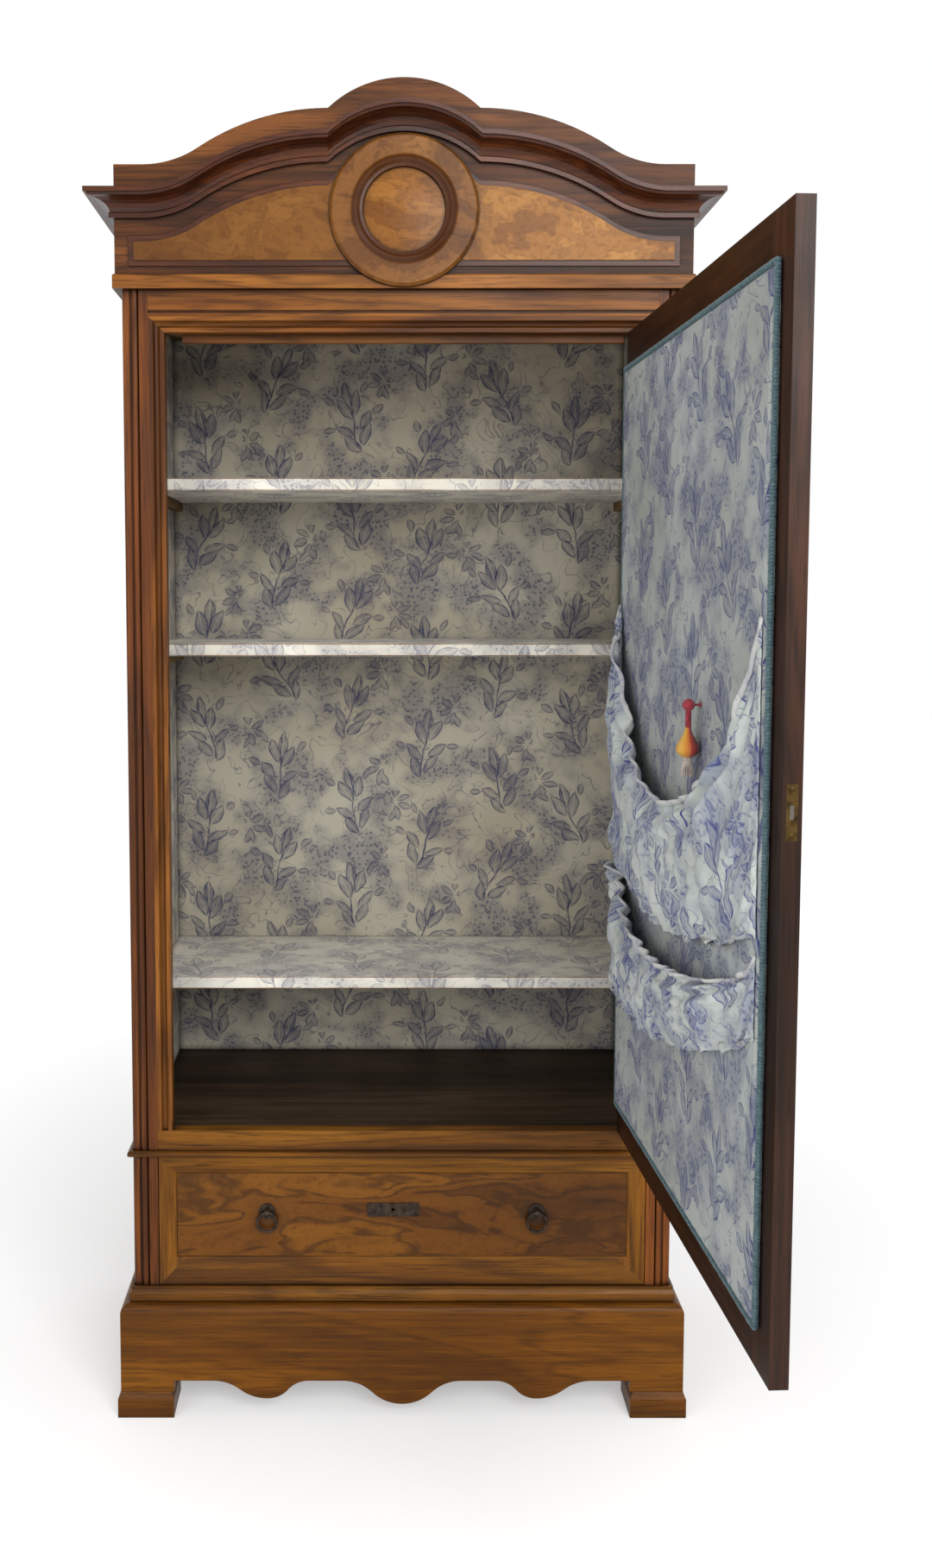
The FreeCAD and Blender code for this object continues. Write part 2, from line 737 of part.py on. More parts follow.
def make_crown():
    # the profile stays upright while it follows the crest
    profile = crown_profile()
    y = pediment_y
    faces = []
    closed = profile + [profile[0]]
    for (out_a, rise_a), (out_b, rise_b) in zip(closed, closed[1:]):
        for edge in crest_edges(crest_shoulder_half, y - out_a, crown_foot + rise_a):
            faces.append(edge.extrude(vec(0, out_a - out_b, rise_b - rise_a)))
    def section(sign):
        return [vec(sign * crest_shoulder_half, y - out, crown_foot + rise) for out, rise in profile]
    def corner(sign):
        return [vec(sign * (pediment_half_width + out), y - out, crown_foot + rise) for out, rise in profile]
    def tail(sign):
        return [vec(sign * (pediment_half_width + out), 0, crown_foot + rise) for out, rise in profile]
    faces += [Part.Face(polygon(section(-1))), Part.Face(polygon(section(1)))]
    curved = solid_from(faces)
    ends = [bridge(section(s), corner(s)) for s in (-1, 1)]
    save("crown_moulding", [curved] + ends)
    returns = [bridge(corner(s), tail(s)) for s in (-1, 1)]
    save("crown_returns", returns)


def panel_outline(grow):
    # right-hand frieze panel: level foot, upright end, top that follows the crest
    y = pediment_y
    x_out = pediment_half_width - frieze_panel_inset + grow
    z0 = frieze_foot + frieze_band_height + frieze_rail_height + frieze_frame_width - grow
    z1 = crest_ends - frieze_panel_drop + grow
    curve = crest_edges(x_out, y, z1)
    start = curve[0].Vertexes[0].Point
    edges = list(curve)
    edges.append(Part.makeLine(vec(x_out, y, z1), vec(x_out, y, z0)))
    edges.append(Part.makeLine(vec(x_out, y, z0), vec(-x_out, y, z0)))
    edges.append(Part.makeLine(vec(-x_out, y, z0), start))
    return Part.Face(Part.Wire(edges))


def medallion_plug(radius):
    return Part.makeCylinder(radius, case_depth, vec(0, pediment_y - case_depth / 2, medallion_z), along_y)


def make_frieze():
    plug = medallion_plug(medallion_radius + flat_gap)
    right_half = block(0, case_width, pediment_y - case_depth / 2, 0, 0, crest_ends + case_width)
    panel = panel_outline(0).extrude(vec(0, -frieze_panel_proud, 0)).cut(plug).common(right_half)
    frame = panel_outline(frieze_frame_width).extrude(vec(0, -frieze_rail_proud, 0))
    frame = frame.cut(panel_outline(0).extrude(vec(0, -frieze_panel_proud, 0)))
    frame = frame.cut(plug).common(right_half)
    save("frieze_panels", both_sides(panel.Solids[0]))
    save("frieze_frames", both_sides(frame.Solids[0]))


def turned_about_y(points):
    # points hold (radius, reach out of the frieze board)
    ring = [vec(r, pediment_y - out, medallion_z) for r, out in points]
    return Part.Face(polygon(ring)).revolve(vec(0, pediment_y, medallion_z), along_y, 360)


def make_medallion():
    e = medallion_edge
    inner = medallion_field_radius
    ring = [(inner, 0), (medallion_radius, 0), (medallion_radius, medallion_proud - e),
            (medallion_radius - e, medallion_proud), (medallion_ring_radius + e, medallion_proud),
            (medallion_ring_radius, medallion_ring_proud - e / 2), (medallion_ring_radius - e, medallion_ring_proud),
            (inner + e, medallion_ring_proud - e), (inner, medallion_proud)]
    save("medallion_ring", [turned_about_y(ring)])
    rim = inner - flat_gap
    disc = [(0, 0), (rim, 0), (rim, medallion_proud - e), (rim / 2, medallion_proud - e / 4), (0, medallion_proud)]
    save("medallion_disc", [turned_about_y(disc)])


# door, modelled shut and then opened
def make_door():
    z0 = door_foot
    z1 = door_foot + door_height
    inner_left = door_left + door_stile_width
    inner_right = door_right - door_stile_width
    groove = door_panel_box(flat_gap)
    lock_stile = block(door_left, inner_left, front, door_back, z0, z1).cut(groove)
    lock_stile = lock_stile.cut(lock_box(flat_gap)).cut(faceplate_box(0)).cut(door_bolt_room())
    lock_stile = lock_stile.cut(escutcheon_hole(-case_depth))
    save("door_stile_lock", [opened(lock_stile)])
    hinge_stile = block(inner_right, door_right, front, door_back, z0, z1).cut(groove)
    for z in hinge_places():
        hinge_stile = hinge_stile.cut(hinge_leaf(-1, z)).cut(hinge_barrel_space(z))
    save("door_stile_hinge", [opened(hinge_stile)])
    low = block(inner_left, inner_right, front, door_back, z0, z0 + door_rail_height).cut(groove)
    high = block(inner_left, inner_right, front, door_back, z1 - door_rail_height, z1).cut(groove)
    save("door_rails", [opened(low), opened(high)])
    t = door_panel_tongue
    y_mid = front + door_thickness / 2
    half = door_panel_thickness / 2
    panel = fielded_panel(inner_left - t, inner_right + t, z0 + door_rail_height - t, z1 - door_rail_height + t,
                          y_mid - half, y_mid + half, door_panel_field, door_panel_slope, -1)
    save("door_panel", [opened(panel)])
    pad = block(door_left + lining_edge_free, door_right - lining_edge_hinge, door_back, lining_face,
                z0 + lining_edge_bottom, z1 - lining_edge_top)
    rim = [e for e in pad.Edges if all(abs(v.Point.y - lining_face) < flat_gap for v in e.Vertexes)]
    save("door_lining", [opened(pad.makeFillet(lining_round, rim))])


def door_panel_box(extra):
    t = door_panel_tongue + extra
    y_mid = front + door_thickness / 2
    half = door_panel_thickness / 2 + extra
    return block(door_left + door_stile_width - t, door_right - door_stile_width + t, y_mid - half, y_mid + half,
                 door_foot + door_rail_height - t, door_foot + door_height - door_rail_height + t)


# door lock
def lock_z():
    return door_foot + lock_rise


def lock_y():
    return front + door_thickness / 2


def lock_box(extra):
    half = lock_thickness / 2 + extra
    x0 = door_left + faceplate_thickness
    return block(x0, x0 + lock_depth + extra, lock_y() - half, lock_y() + half, lock_z() - lock_height / 2 - extra,
                 lock_z() + lock_height / 2 + extra)


def faceplate_box(extra):
    half = faceplate_width / 2 + extra
    return block(door_left, door_left + faceplate_thickness, lock_y() - half, lock_y() + half,
                 lock_z() - faceplate_height / 2 - extra, lock_z() + faceplate_height / 2 + extra)


def bolt_box(extra, reach):
    half_y = bolt_thickness / 2 + extra
    half_z = bolt_height / 2 + extra
    return block(door_left - reach, door_left + bolt_length + extra, lock_y() - half_y, lock_y() + half_y,
                 lock_z() - half_z, lock_z() + half_z)


def door_bolt_room():
    return bolt_box(bolt_room, bolt_throw + 2 * door_gap_side)


def strike_box(extra):
    half_y = strike_width / 2 + extra
    half_z = strike_height / 2 + extra
    return block(-open_half - strike_thickness, -open_half, lock_y() - half_y, lock_y() + half_y,
                 lock_z() - half_z, lock_z() + half_z)


def escutcheon_place():
    return door_left + faceplate_thickness + lock_depth / 2


def escutcheon_hole(reach):
    return Part.makeCylinder(keyhole_radius, abs(reach), vec(escutcheon_place(), lock_y(), lock_z()),
                             vec(0, -1, 0))


def make_door_lock():
    case = lock_box(0).cut(door_bolt_room()).cut(escutcheon_hole(case_depth))
    plate = faceplate_box(0).cut(door_bolt_room())
    save("door_lock", [opened(case.fuse(plate).removeSplitter())])
    save("door_bolt", [opened(bolt_box(0, 0))])
    save("door_strike", [strike_box(0).cut(door_bolt_room())])
    shield = Part.makeCylinder(escutcheon_width / 2, escutcheon_thickness,
                               vec(escutcheon_place(), front - escutcheon_thickness, lock_z()), along_y)
    tail = block(escutcheon_place() - escutcheon_width / 4, escutcheon_place() + escutcheon_width / 4,
                 front - escutcheon_thickness, front, lock_z() - escutcheon_height / 2,
                 lock_z() + escutcheon_height / 2)
    plate = shield.fuse(tail).removeSplitter().cut(escutcheon_hole(case_depth))
    save("door_escutcheon", [opened(plate)])


# gathered pockets and the tassel
def pocket_section(z, bulge, inset):
    x0 = door_left + pocket_free_inset + inset
    x1 = door_right - pocket_hinge_inset - inset
    start = vec(x0, lining_face, z)
    end = vec(x1, lining_face, z)
    middle = vec((x0 + x1) / 2, lining_face + bulge, z)
    return Part.Wire([arc_through(start, middle, end), Part.makeLine(end, start)])


def lip_cut(lip, sag):
    # the lip hangs as an arc between the pocket's two upper corners
    half = (door_width - pocket_free_inset - pocket_hinge_inset) / 2
    radius = (half * half + sag * sag) / (2 * sag)
    x = (door_left + pocket_free_inset + door_right - pocket_hinge_inset) / 2
    z = door_foot + lip - sag + radius
    return Part.makeCylinder(radius, case_depth, vec(x, front, z), along_y)


def make_pocket(name, foot, lip, sag, ceiling):
    z0 = door_foot + foot
    z1 = door_foot + lip
    belly = z0 + (z1 - z0) * pocket_belly_share
    w = pocket_wall
    outer = Part.makeLoft([pocket_section(z0, pocket_foot_bulge, 0), pocket_section(belly, pocket_belly_bulge, 0),
                           pocket_section(z1, pocket_lip_bulge, 0)], True, True)
    cut_top = z1 + cut_overrun
    slope = (pocket_lip_bulge - pocket_belly_bulge) / (z1 - belly)
    inner = Part.makeLoft([pocket_section(z0 + w, pocket_foot_bulge - w, 2 * w),
                           pocket_section(belly, pocket_belly_bulge - w, 2 * w),
                           pocket_section(cut_top, pocket_lip_bulge - w + slope * cut_overrun, 2 * w)], True, True)
    above = block(door_left, door_right, lining_face - cut_overrun, 0, door_foot + ceiling, z1 + case_width)
    save(name, [opened(outer.cut(inner).cut(lip_cut(lip, sag)).cut(above))])


def make_tassel():
    x = door_right - tassel_place_share * door_width
    y = lining_face + tassel_body_radius + flat_gap
    z = door_foot + tassel_rise
    bead = tassel_bead_radius
    neck = tassel_neck_radius
    body_top = z - 2 * bead - neck
    body_mid = body_top - tassel_body_length / 2
    body_foot = body_top - tassel_body_length
    skirt_foot = body_foot - tassel_skirt_length
    outline = []
    for i in range(tassel_bead_steps):
        turn = math.pi * i / tassel_bead_steps
        outline.append(vec(x + bead * math.sin(turn), y, z - bead + bead * math.cos(turn)))
    outline += [vec(x + neck, y, z - 2 * bead), vec(x + neck, y, body_top),
                vec(x + tassel_body_radius, y, body_mid), vec(x + neck, y, body_foot),
                vec(x + tassel_skirt_radius, y, skirt_foot), vec(x, y, skirt_foot)]
    save("tassel", [opened(turned(outline, outline[0], up, tassel_sides))])


# drawer
def frame_strips(outer, inner, profile, base_y):
    # four mitred strips; profile holds (share from the outer to the inner edge, reach out of base_y)
    ox0, ox1, oz0, oz1 = outer
    ix0, ix1, iz0, iz1 = inner
    outer_corners = [(ox0, oz0), (ox1, oz0), (ox1, oz1), (ox0, oz1)]
    inner_corners = [(ix0, iz0), (ix1, iz0), (ix1, iz1), (ix0, iz1)]
    def section(i):
        points = []
        for share, out in profile:
            x = outer_corners[i][0] + share * (inner_corners[i][0] - outer_corners[i][0])
            z = outer_corners[i][1] + share * (inner_corners[i][1] - outer_corners[i][1])
            points.append(vec(x, base_y - out, z))
        return points
    return [bridge(section(i), section((i + 1) % 4)) for i in range(4)]


def make_drawer():
    front_board = block(-drawer_half, drawer_half, drawer_face, drawer_back_y, drawer_low, drawer_top)
    front_board = front_board.cut(drawer_bolt_room()).cut(drawer_keyhole())
    groove_z = drawer_foot + flat_gap + drawer_bottom_rise
    tongue = drawer_bottom_tongue
    side_in = drawer_half - drawer_side_thickness
    y_rear = -back_thickness - drawer_back_room
    panel = block(-side_in - tongue, side_in + tongue, drawer_back_y - tongue, y_rear - drawer_side_thickness,
                  groove_z, groove_z + drawer_bottom_thickness)
    save("drawer_front", [front_board.cut(panel)])
    save("drawer_bottom", [panel])
    side = block(side_in, drawer_half, drawer_back_y, y_rear, drawer_foot + flat_gap,
                 drawer_foot + flat_gap + drawer_side_height).cut(panel)
    save("drawer_sides", both_sides(side))
    rear = block(-side_in, side_in, y_rear - drawer_side_thickness, y_rear, groove_z,
                 drawer_foot + flat_gap + drawer_side_height)
    save("drawer_back", [rear])
    lip = drawer_frame_lip / drawer_frame_width
    outer = (-drawer_half, drawer_half, drawer_low, drawer_top)
    inner = (-drawer_half + drawer_frame_width, drawer_half - drawer_frame_width, drawer_low + drawer_frame_foot,
             drawer_top - drawer_frame_width)
    profile = [(0, 0), (0, drawer_frame_proud), (lip, drawer_frame_proud), (1, 0)]
    save("drawer_mouldings", frame_strips(outer, inner, profile, drawer_face))


def drawer_lock_z():
    return drawer_foot + drawer_plate_rise


def drawer_keyhole():
    return Part.makeCylinder(keyhole_radius, case_depth / 2,
                             vec(drawer_plate_place, front - case_depth / 4, drawer_lock_z()), along_y)


def drawer_bolt_box(extra, reach):
    y0 = drawer_back_y - drawer_bolt_depth
    half = drawer_bolt_width / 2 + extra
    z0 = drawer_top - drawer_lock_height
    return block(drawer_plate_place - half, drawer_plate_place + half, y0 - extra, drawer_back_y + extra,
                 z0 - extra, drawer_top + reach)


def drawer_bolt_room():
    return drawer_bolt_box(bolt_room, drawer_gap + drawer_bolt_throw)


def drawer_bolt_mortise():
    return drawer_bolt_box(drawer_mortise_room, drawer_gap + drawer_bolt_throw + drawer_mortise_room)


def make_drawer_lock():
    plate = block(drawer_plate_place - drawer_plate_width / 2, drawer_plate_place + drawer_plate_width / 2,
                  drawer_face - drawer_plate_thickness, drawer_face, drawer_lock_z() - drawer_plate_height / 2,
                  drawer_lock_z() + drawer_plate_height / 2)
    case = block(drawer_plate_place - drawer_lock_width / 2, drawer_plate_place + drawer_lock_width / 2,
                 drawer_back_y, drawer_back_y + drawer_lock_depth, drawer_lock_z() - drawer_lock_height / 2,
                 drawer_top - drawer_frame_lip)
    case = case.cut(drawer_bolt_room()).cut(drawer_keyhole())
    save("drawer_lock", [case, plate.cut(drawer_keyhole())])
    save("drawer_bolt", [drawer_bolt_box(0, 0)])


def make_pulls():
    z = drawer_foot + pull_rise
    y = drawer_face
    eye_y = y - pull_eye_reach
    half = pull_eye_width / 2
    roses = []
    for sign in (-1, 1):
        x = sign * pull_place
        rose = Part.makeCylinder(pull_rose_radius, pull_rose_thickness, vec(x, y - pull_rose_thickness, z), along_y)
        eye = Part.makeCylinder(pull_eye_radius, pull_eye_width, vec(x - half, eye_y, z), along_x)
        neck = block(x - half, x + half, eye_y, y - pull_rose_thickness, z - half, z + half)
        bore = Part.makeCylinder(pull_eye_bore, pull_eye_width + 2 * cut_overrun,
                                 vec(x - half - cut_overrun, eye_y, z), along_x)
        roses.append(rose.fuse(eye).fuse(neck).removeSplitter().cut(bore))
        centre = vec(x, eye_y, z - ring_radius)
        section = []
        for i in range(ring_sides):
            turn = 2 * math.pi * i / ring_sides
            section.append(centre + vec(ring_radius + ring_wire * math.cos(turn), ring_wire * math.sin(turn), 0))
        ring = turned(section, centre, along_y, ring_chords)
        save("pull_ring_left" if sign < 0 else "pull_ring_right", [ring])
    save("pull_roses", roses)


os.makedirs("parts", exist_ok=True)
make_plinth()
make_posts()
make_front_rails()
make_architrave()
make_hinges()
make_inside()
make_pediment()
make_crown()
make_frieze()
make_medallion()
make_door()
make_door_lock()
make_pocket("pocket_upper", pocket_upper_foot, pocket_upper_lip, pocket_upper_sag, pocket_upper_lip)
make_pocket("pocket_lower", pocket_lower_foot, pocket_lower_lip, pocket_lower_sag, pocket_upper_foot - pocket_gap)
make_tassel()
make_drawer()
make_drawer_lock()
make_pulls()
print("built", len(os.listdir("parts")), "nodes")
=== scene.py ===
import bpy
import bmesh
import math
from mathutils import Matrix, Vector, noise


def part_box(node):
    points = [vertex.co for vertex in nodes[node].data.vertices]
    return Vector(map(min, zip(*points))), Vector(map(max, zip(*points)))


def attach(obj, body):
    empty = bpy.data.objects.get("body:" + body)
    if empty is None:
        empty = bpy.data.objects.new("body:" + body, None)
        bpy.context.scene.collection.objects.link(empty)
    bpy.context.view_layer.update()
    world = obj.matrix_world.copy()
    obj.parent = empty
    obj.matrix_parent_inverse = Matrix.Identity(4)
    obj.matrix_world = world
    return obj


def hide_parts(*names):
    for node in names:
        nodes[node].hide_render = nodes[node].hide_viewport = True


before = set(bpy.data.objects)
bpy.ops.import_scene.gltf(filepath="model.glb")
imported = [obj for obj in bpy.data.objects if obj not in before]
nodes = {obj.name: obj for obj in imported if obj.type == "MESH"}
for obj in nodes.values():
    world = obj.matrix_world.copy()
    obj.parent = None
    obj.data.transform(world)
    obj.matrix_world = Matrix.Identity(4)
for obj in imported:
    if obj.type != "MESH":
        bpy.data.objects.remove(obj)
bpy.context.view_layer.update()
print("frame loaded:", len(nodes), "nodes")


# node trees
class Field:
    # a value in a node tree, so that what the nodes work out reads as plain arithmetic
    def __init__(self, tree, socket):
        self.tree, self.socket = tree, socket

    def __add__(self, other):
        return self.calc("ADD", other)

    def __sub__(self, other):
        return self.calc("SUBTRACT", other)

    def __mul__(self, other):
        return self.calc("MULTIPLY", other)

    def __truediv__(self, other):
        return self.calc("DIVIDE", other)

    def __abs__(self):
        return self.calc("ABSOLUTE")

    def calc(self, operation, other=None):
        return fieldOf(self.tree, "ShaderNodeMath", 0, {0: self, 1: other}, operation=operation)

    def rest(self, whole=1.0):
        # what the value leaves of a whole
        return fieldOf(self.tree, "ShaderNodeMath", 0, {0: whole, 1: self}, operation="SUBTRACT")

    def most(self, *others):
        return self.calc("MAXIMUM", others[0]).most(*others[1:]) if others else self

    def vector(self, operation, other=None, scale=None):
        output = 1 if operation in ("DOT_PRODUCT", "LENGTH") else 0
        return fieldOf(self.tree, "ShaderNodeVectorMath", output, {0: self, 1: other, 3: scale},
                       operation=operation)

    def axes(self):
        return [Field(self.tree, axis)
                for axis in addNode(self.tree, "ShaderNodeSeparateXYZ", {0: self}).outputs]

    def join(self, y, z=None):
        return fieldOf(self.tree, "ShaderNodeCombineXYZ", 0, {0: self, 1: y, 2: z})

    def mapped(self, scale=(1, 1, 1), place=(0, 0, 0), turn=(0, 0, 0), kind="POINT"):
        inputs = {"Vector": self, "Location": place, "Rotation": turn, "Scale": scale}
        return fieldOf(self.tree, "ShaderNodeMapping", 0, inputs, vector_type=kind)

    def noise(self, scale, detail=3.0, roughness=0.55, distortion=0.0, output="Fac"):
        inputs = {"Vector": self, "Scale": scale, "Detail": detail, "Roughness": roughness,
                  "Distortion": distortion}
        return fieldOf(self.tree, "ShaderNodeTexNoise", output, inputs)

    def drifted(self, scale, detail, reach):
        # a place pushed about by noise
        drift = self.noise(scale, detail, 0.5, output="Color").vector("SCALE", scale=reach)
        return self.vector("ADD", drift)

    def cells(self, scale, randomness=1.0):
        inputs = {"Vector": self, "Scale": scale, "Randomness": randomness}
        return fieldOf(self.tree, "ShaderNodeTexVoronoi", "Distance", inputs)

    def spread(self, low, high, outLow=0.0, outHigh=1.0):
        return fieldOf(self.tree, "ShaderNodeMapRange", 0,
                       {0: self, 1: low, 2: high, 3: outLow, 4: outHigh})

    def sine(self, count):
        return (self * count).calc("SINE")

    def ramp(self, stops):
        node = addNode(self.tree, "ShaderNodeValToRGB", {0: self})
        while len(node.color_ramp.elements) < len(stops):
            node.color_ramp.elements.new(0.5)
        for element, (place, colour) in zip(node.color_ramp.elements, stops):
            element.position = place
            element.color = colour
        return Field(self.tree, node.outputs[0])

    def bump(self, strength, distance, normal=None):
        inputs = {"Height": self, "Strength": strength, "Distance": distance, "Normal": normal}
        return fieldOf(self.tree, "ShaderNodeBump", 0, inputs)


def setSockets(tree, node, inputs):
    for key, value in inputs.items():
        if isinstance(value, Field):
            tree.links.new(value.socket, node.inputs[key])
        elif value is not None:
            node.inputs[key].default_value = value


def addNode(tree, kind, inputs=None, **settings):
    node = tree.nodes.new(kind)
    for key, value in settings.items():
        setattr(node, key, value)
    setSockets(tree, node, inputs or {})
    return node


def fieldOf(tree, kind, output=0, inputs=None, **settings):
    return Field(tree, addNode(tree, kind, inputs, **settings).outputs[output])


def newMaterial(name):
    material = bpy.data.materials.new(name)
    material.use_nodes = True
    tree = material.node_tree
    return material, tree, tree.nodes["Principled BSDF"]


def coordinates(tree, kind="Object"):
    return fieldOf(tree, "ShaderNodeTexCoord", kind)


def clothMap(tree):
    return fieldOf(tree, "ShaderNodeUVMap", uv_map="cloth")


def layered(tree, tone, *coats, how="MIX"):
    # lays colours over a tone in turn, each by its own share
    for share, colour in coats:
        tone = fieldOf(tree, "ShaderNodeMix", 2, {0: share, 6: tone, 7: colour}, data_type="RGBA",
                       blend_type=how)
    return tone


def rgb(red, green, blue):
    # a colour as seen on screen, 0 to 255, turned to linear light
    def linear(v):
        v = v / 255.0
        return v / 12.92 if v <= 0.04045 else ((v + 0.055) / 1.055) ** 2.4
    return (linear(red), linear(green), linear(blue), 1.0)


def shaded(colour, gain):
    return [min(1.0, c * gain) for c in colour[:3]] + [1.0]


# wood
def edgeWear(tree, radius):
    # light where an arris is rubbed: how far a rounded normal leaves the true one
    rounded = fieldOf(tree, "ShaderNodeBevel", 0, {"Radius": radius}, samples=4)
    true = fieldOf(tree, "ShaderNodeNewGeometry", "Normal")
    return rounded.vector("DOT_PRODUCT", true).spread(0.985, 0.8), rounded


def shadeAndGrime(tree, reach, share):
    # how deep a spot lies in a corner: painted shade in corners and recesses, with the old polish
    # and dust that gather there
    clear = fieldOf(tree, "ShaderNodeAmbientOcclusion", "AO", {"Distance": reach}, samples=6)
    return clear.spread(0.95, 0.48) * share


# scale of each field along the grain and across it
grainScale = {"figure": (0.55, 6.5), "streaks": (2.6, 85), "pores": (14, 330)}
polish = {"specular": 0.14, "arris": 0.0022, "corner": 0.03, "shadeAndGrime": 0.86, "coatRough": 0.24}


def alongGrain(place, grain, field):
    along, across = grainScale[field]
    return place.mapped([along if axis == grain else across for axis in "XYZ"])


def turnAtMitre(tree, place, corner, foot=None):
    # past the mitre from the outer corner, the grain follows the other member:
    # the head of an open frame, or the two uprights of one that also has a foot
    x, y, z = place.axes()
    inward, down = abs(x).rest(corner[0]), z.rest(corner[1])
    if foot is not None:
        down = down.calc("MINIMUM", z - foot)
    other = inward.calc("GREATER_THAN" if foot is None else "LESS_THAN", down)
    return fieldOf(tree, "ShaderNodeMix", 1, {0: other, 4: place, 5: z.join(y, x)},
                   data_type="VECTOR")


def makeWood(name, grain, colours, rings=64.0, figure=1.0, wear=0.35, gloss=0.38, coat=0.06,
             shift=0.0, corner=None, outer=None):
    # rings: growth lines in the figure; outer: a gain for the face that looks out of the door,
    # while the other faces keep darker colours with painted shade in them
    material, tree, shader = newMaterial(name)
    dark, middle, light = colours
    place = coordinates(tree)
    if corner:
        place = turnAtMitre(tree, place, *corner)
    moved = place.mapped(place=(shift, shift * 0.7, shift * 1.3))
    broad = alongGrain(moved, grain, "figure").noise(1.0, 3.0, 0.5, 0.6 * figure)
    streaks = alongGrain(moved, grain, "streaks").noise(1.0, 3.0, 0.6, 0.3)
    speck = alongGrain(moved, grain, "pores").noise(1.0, 2.0, 0.6).spread(0.54, 0.70, 0.0, 0.62)
    blotch = moved.noise(5.0, 3.0, 0.6)
    lines = broad.sine(rings).spread(-1.0, 1.0)
    tone = layered(tree, broad.ramp([(0.30, dark), (0.47, middle), (0.68, light)]),
                   (lines.calc("POWER", 3.0) * 0.5, dark),
                   (streaks.spread(0.46, 0.66, 0.0, 0.5), dark),
                   (streaks.spread(0.46, 0.30, 0.0, 0.4), light),
                   (speck, shaded(dark, 0.45)),
                   (blotch.spread(0.35, 0.7, 0.0, 0.24), dark))
    if outer:
        # the door's outer face looks along +X at rest and is lightened; the edge and inner faces
        # stay darker, aged wood with painted shade
        outward = coordinates(tree, "Normal").vector("DOT_PRODUCT", (1, 0, 0))
        tone = layered(tree, tone, (outward.spread(0.5, 0.9),
                                    layered(tree, tone, (1.0, outer), how="MULTIPLY")))
    worn, rounded = edgeWear(tree, polish["arris"])
    # painted shade in corners and recesses, with dust, then lighter rubbed arrises
    tone = layered(tree, tone, (shadeAndGrime(tree, polish["corner"], polish["shadeAndGrime"]), shaded(dark, 0.4)),
                   (worn * (blotch.spread(0.4, 0.65) * wear), shaded(light, 1.5)))
    setSockets(tree, shader, {
        "Base Color": tone, "Roughness": blotch.spread(0.2, 0.8, gloss - 0.07, gloss + 0.16),
        "Normal": (lines * 0.15 - speck).bump(0.22, 0.0006, rounded), "Coat Weight": coat,
        "Coat Roughness": polish["coatRough"], "Specular IOR Level": polish["specular"]})
    return material


# dark line, body and light of each wood
walnut = [rgb(52, 25, 8), rgb(122, 68, 20), rgb(158, 98, 36)]
crestWalnut = [rgb(38, 18, 8), rgb(92, 50, 20), rgb(130, 78, 36)]
ruddyWalnut = [rgb(50, 24, 8), rgb(114, 60, 18), rgb(148, 84, 32)]
drawerWalnut = [rgb(54, 29, 5), rgb(118, 70, 10), rgb(150, 97, 24)]
plinthWalnut = [rgb(72, 39, 4), rgb(114, 66, 6), rgb(140, 86, 13)]
crownWalnut = [rgb(34, 14, 8), rgb(76, 35, 14), rgb(116, 61, 26)]
# the door's colours are darker than the case's: partly aged wood, partly painted shade on its edge
# and inner faces
doorWalnutShadedAged = [rgb(22, 12, 8), rgb(47, 27, 16), rgb(72, 43, 28)]
darkFloor = [rgb(30, 21, 14), rgb(60, 45, 31), rgb(82, 63, 46)]
paleWood = [rgb(112, 84, 52), rgb(160, 128, 88), rgb(186, 156, 114)]
sideWalnut = [rgb(48, 24, 8), rgb(104, 58, 20), rgb(136, 82, 34)]

crownPolish = {"wear": 0.8, "gloss": 0.3, "coat": 0.22}
doorPolish = {"wear": 0.5, "outer": (3.6, 2.9, 1.5, 1.0)}
noPolish = {"wear": 0.2, "gloss": 0.6, "coat": 0.0}
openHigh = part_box("architrave")[1]
drawerLow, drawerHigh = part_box("drawer_mouldings")

finish = {
    "upright": makeWood("WalnutUpright", "Z", ruddyWalnut, shift=0.3),
    "across": makeWood("WalnutAcross", "X", walnut, shift=1.1),
    "architrave": makeWood("WalnutArchitrave", "Z", walnut, shift=2.2,
                           corner=[(openHigh[0], openHigh[2])]),
    "sill": makeWood("WalnutSill", "X", drawerWalnut, shift=3.1),
    "drawerFrame": makeWood("WalnutDrawerFrame", "X", drawerWalnut, shift=3.6,
                            corner=[(drawerHigh[0], drawerHigh[2]), drawerLow[2]]),
    "plinth": makeWood("WalnutPlinth", "X", plinthWalnut, rings=80.0, figure=1.6, shift=4.3),
    "plinthSide": makeWood("WalnutPlinthSide", "Y", plinthWalnut, shift=5.0),
    "crown": makeWood("CrownWalnut", "X", crownWalnut, shift=6.4, **crownPolish),
    "crownReturn": makeWood("CrownReturnWalnut", "Y", crownWalnut, shift=6.8, **crownPolish),
    "crest": makeWood("CrestWalnut", "X", crestWalnut, figure=1.5, wear=0.6, shift=7.7),
    "doorUpright": makeWood("DoorStileWalnut", "Z", doorWalnutShadedAged, shift=8.1, **doorPolish),
    "doorAcross": makeWood("DoorRailWalnut", "Y", doorWalnutShadedAged, shift=8.9, **doorPolish),
    "doorFront": makeWood("DoorPanelWalnut", "Z", sideWalnut, figure=1.8, shift=9.3),
    "sideUpright": makeWood("SidePanelWalnut", "Z", sideWalnut, figure=1.4, shift=10.2),
    "sideFrame": makeWood("SideFrameWalnut", "Z", sideWalnut, shift=11.1),
    "sideAcross": makeWood("PedimentSideWalnut", "Y", sideWalnut, shift=11.9),
    "floor": makeWood("CupboardFloor", "X", darkFloor, wear=0.2, gloss=0.5, coat=0.05, shift=12.4),
    "pale": makeWood("CarcaseBoards", "X", paleWood, shift=13.3, **noPolish),
    "paleUpright": makeWood("BackBoards", "Z", paleWood, shift=14.6, **noPolish),
    "paleDeep": makeWood("DrawerSides", "Y", paleWood, shift=15.5, **noPolish),
}

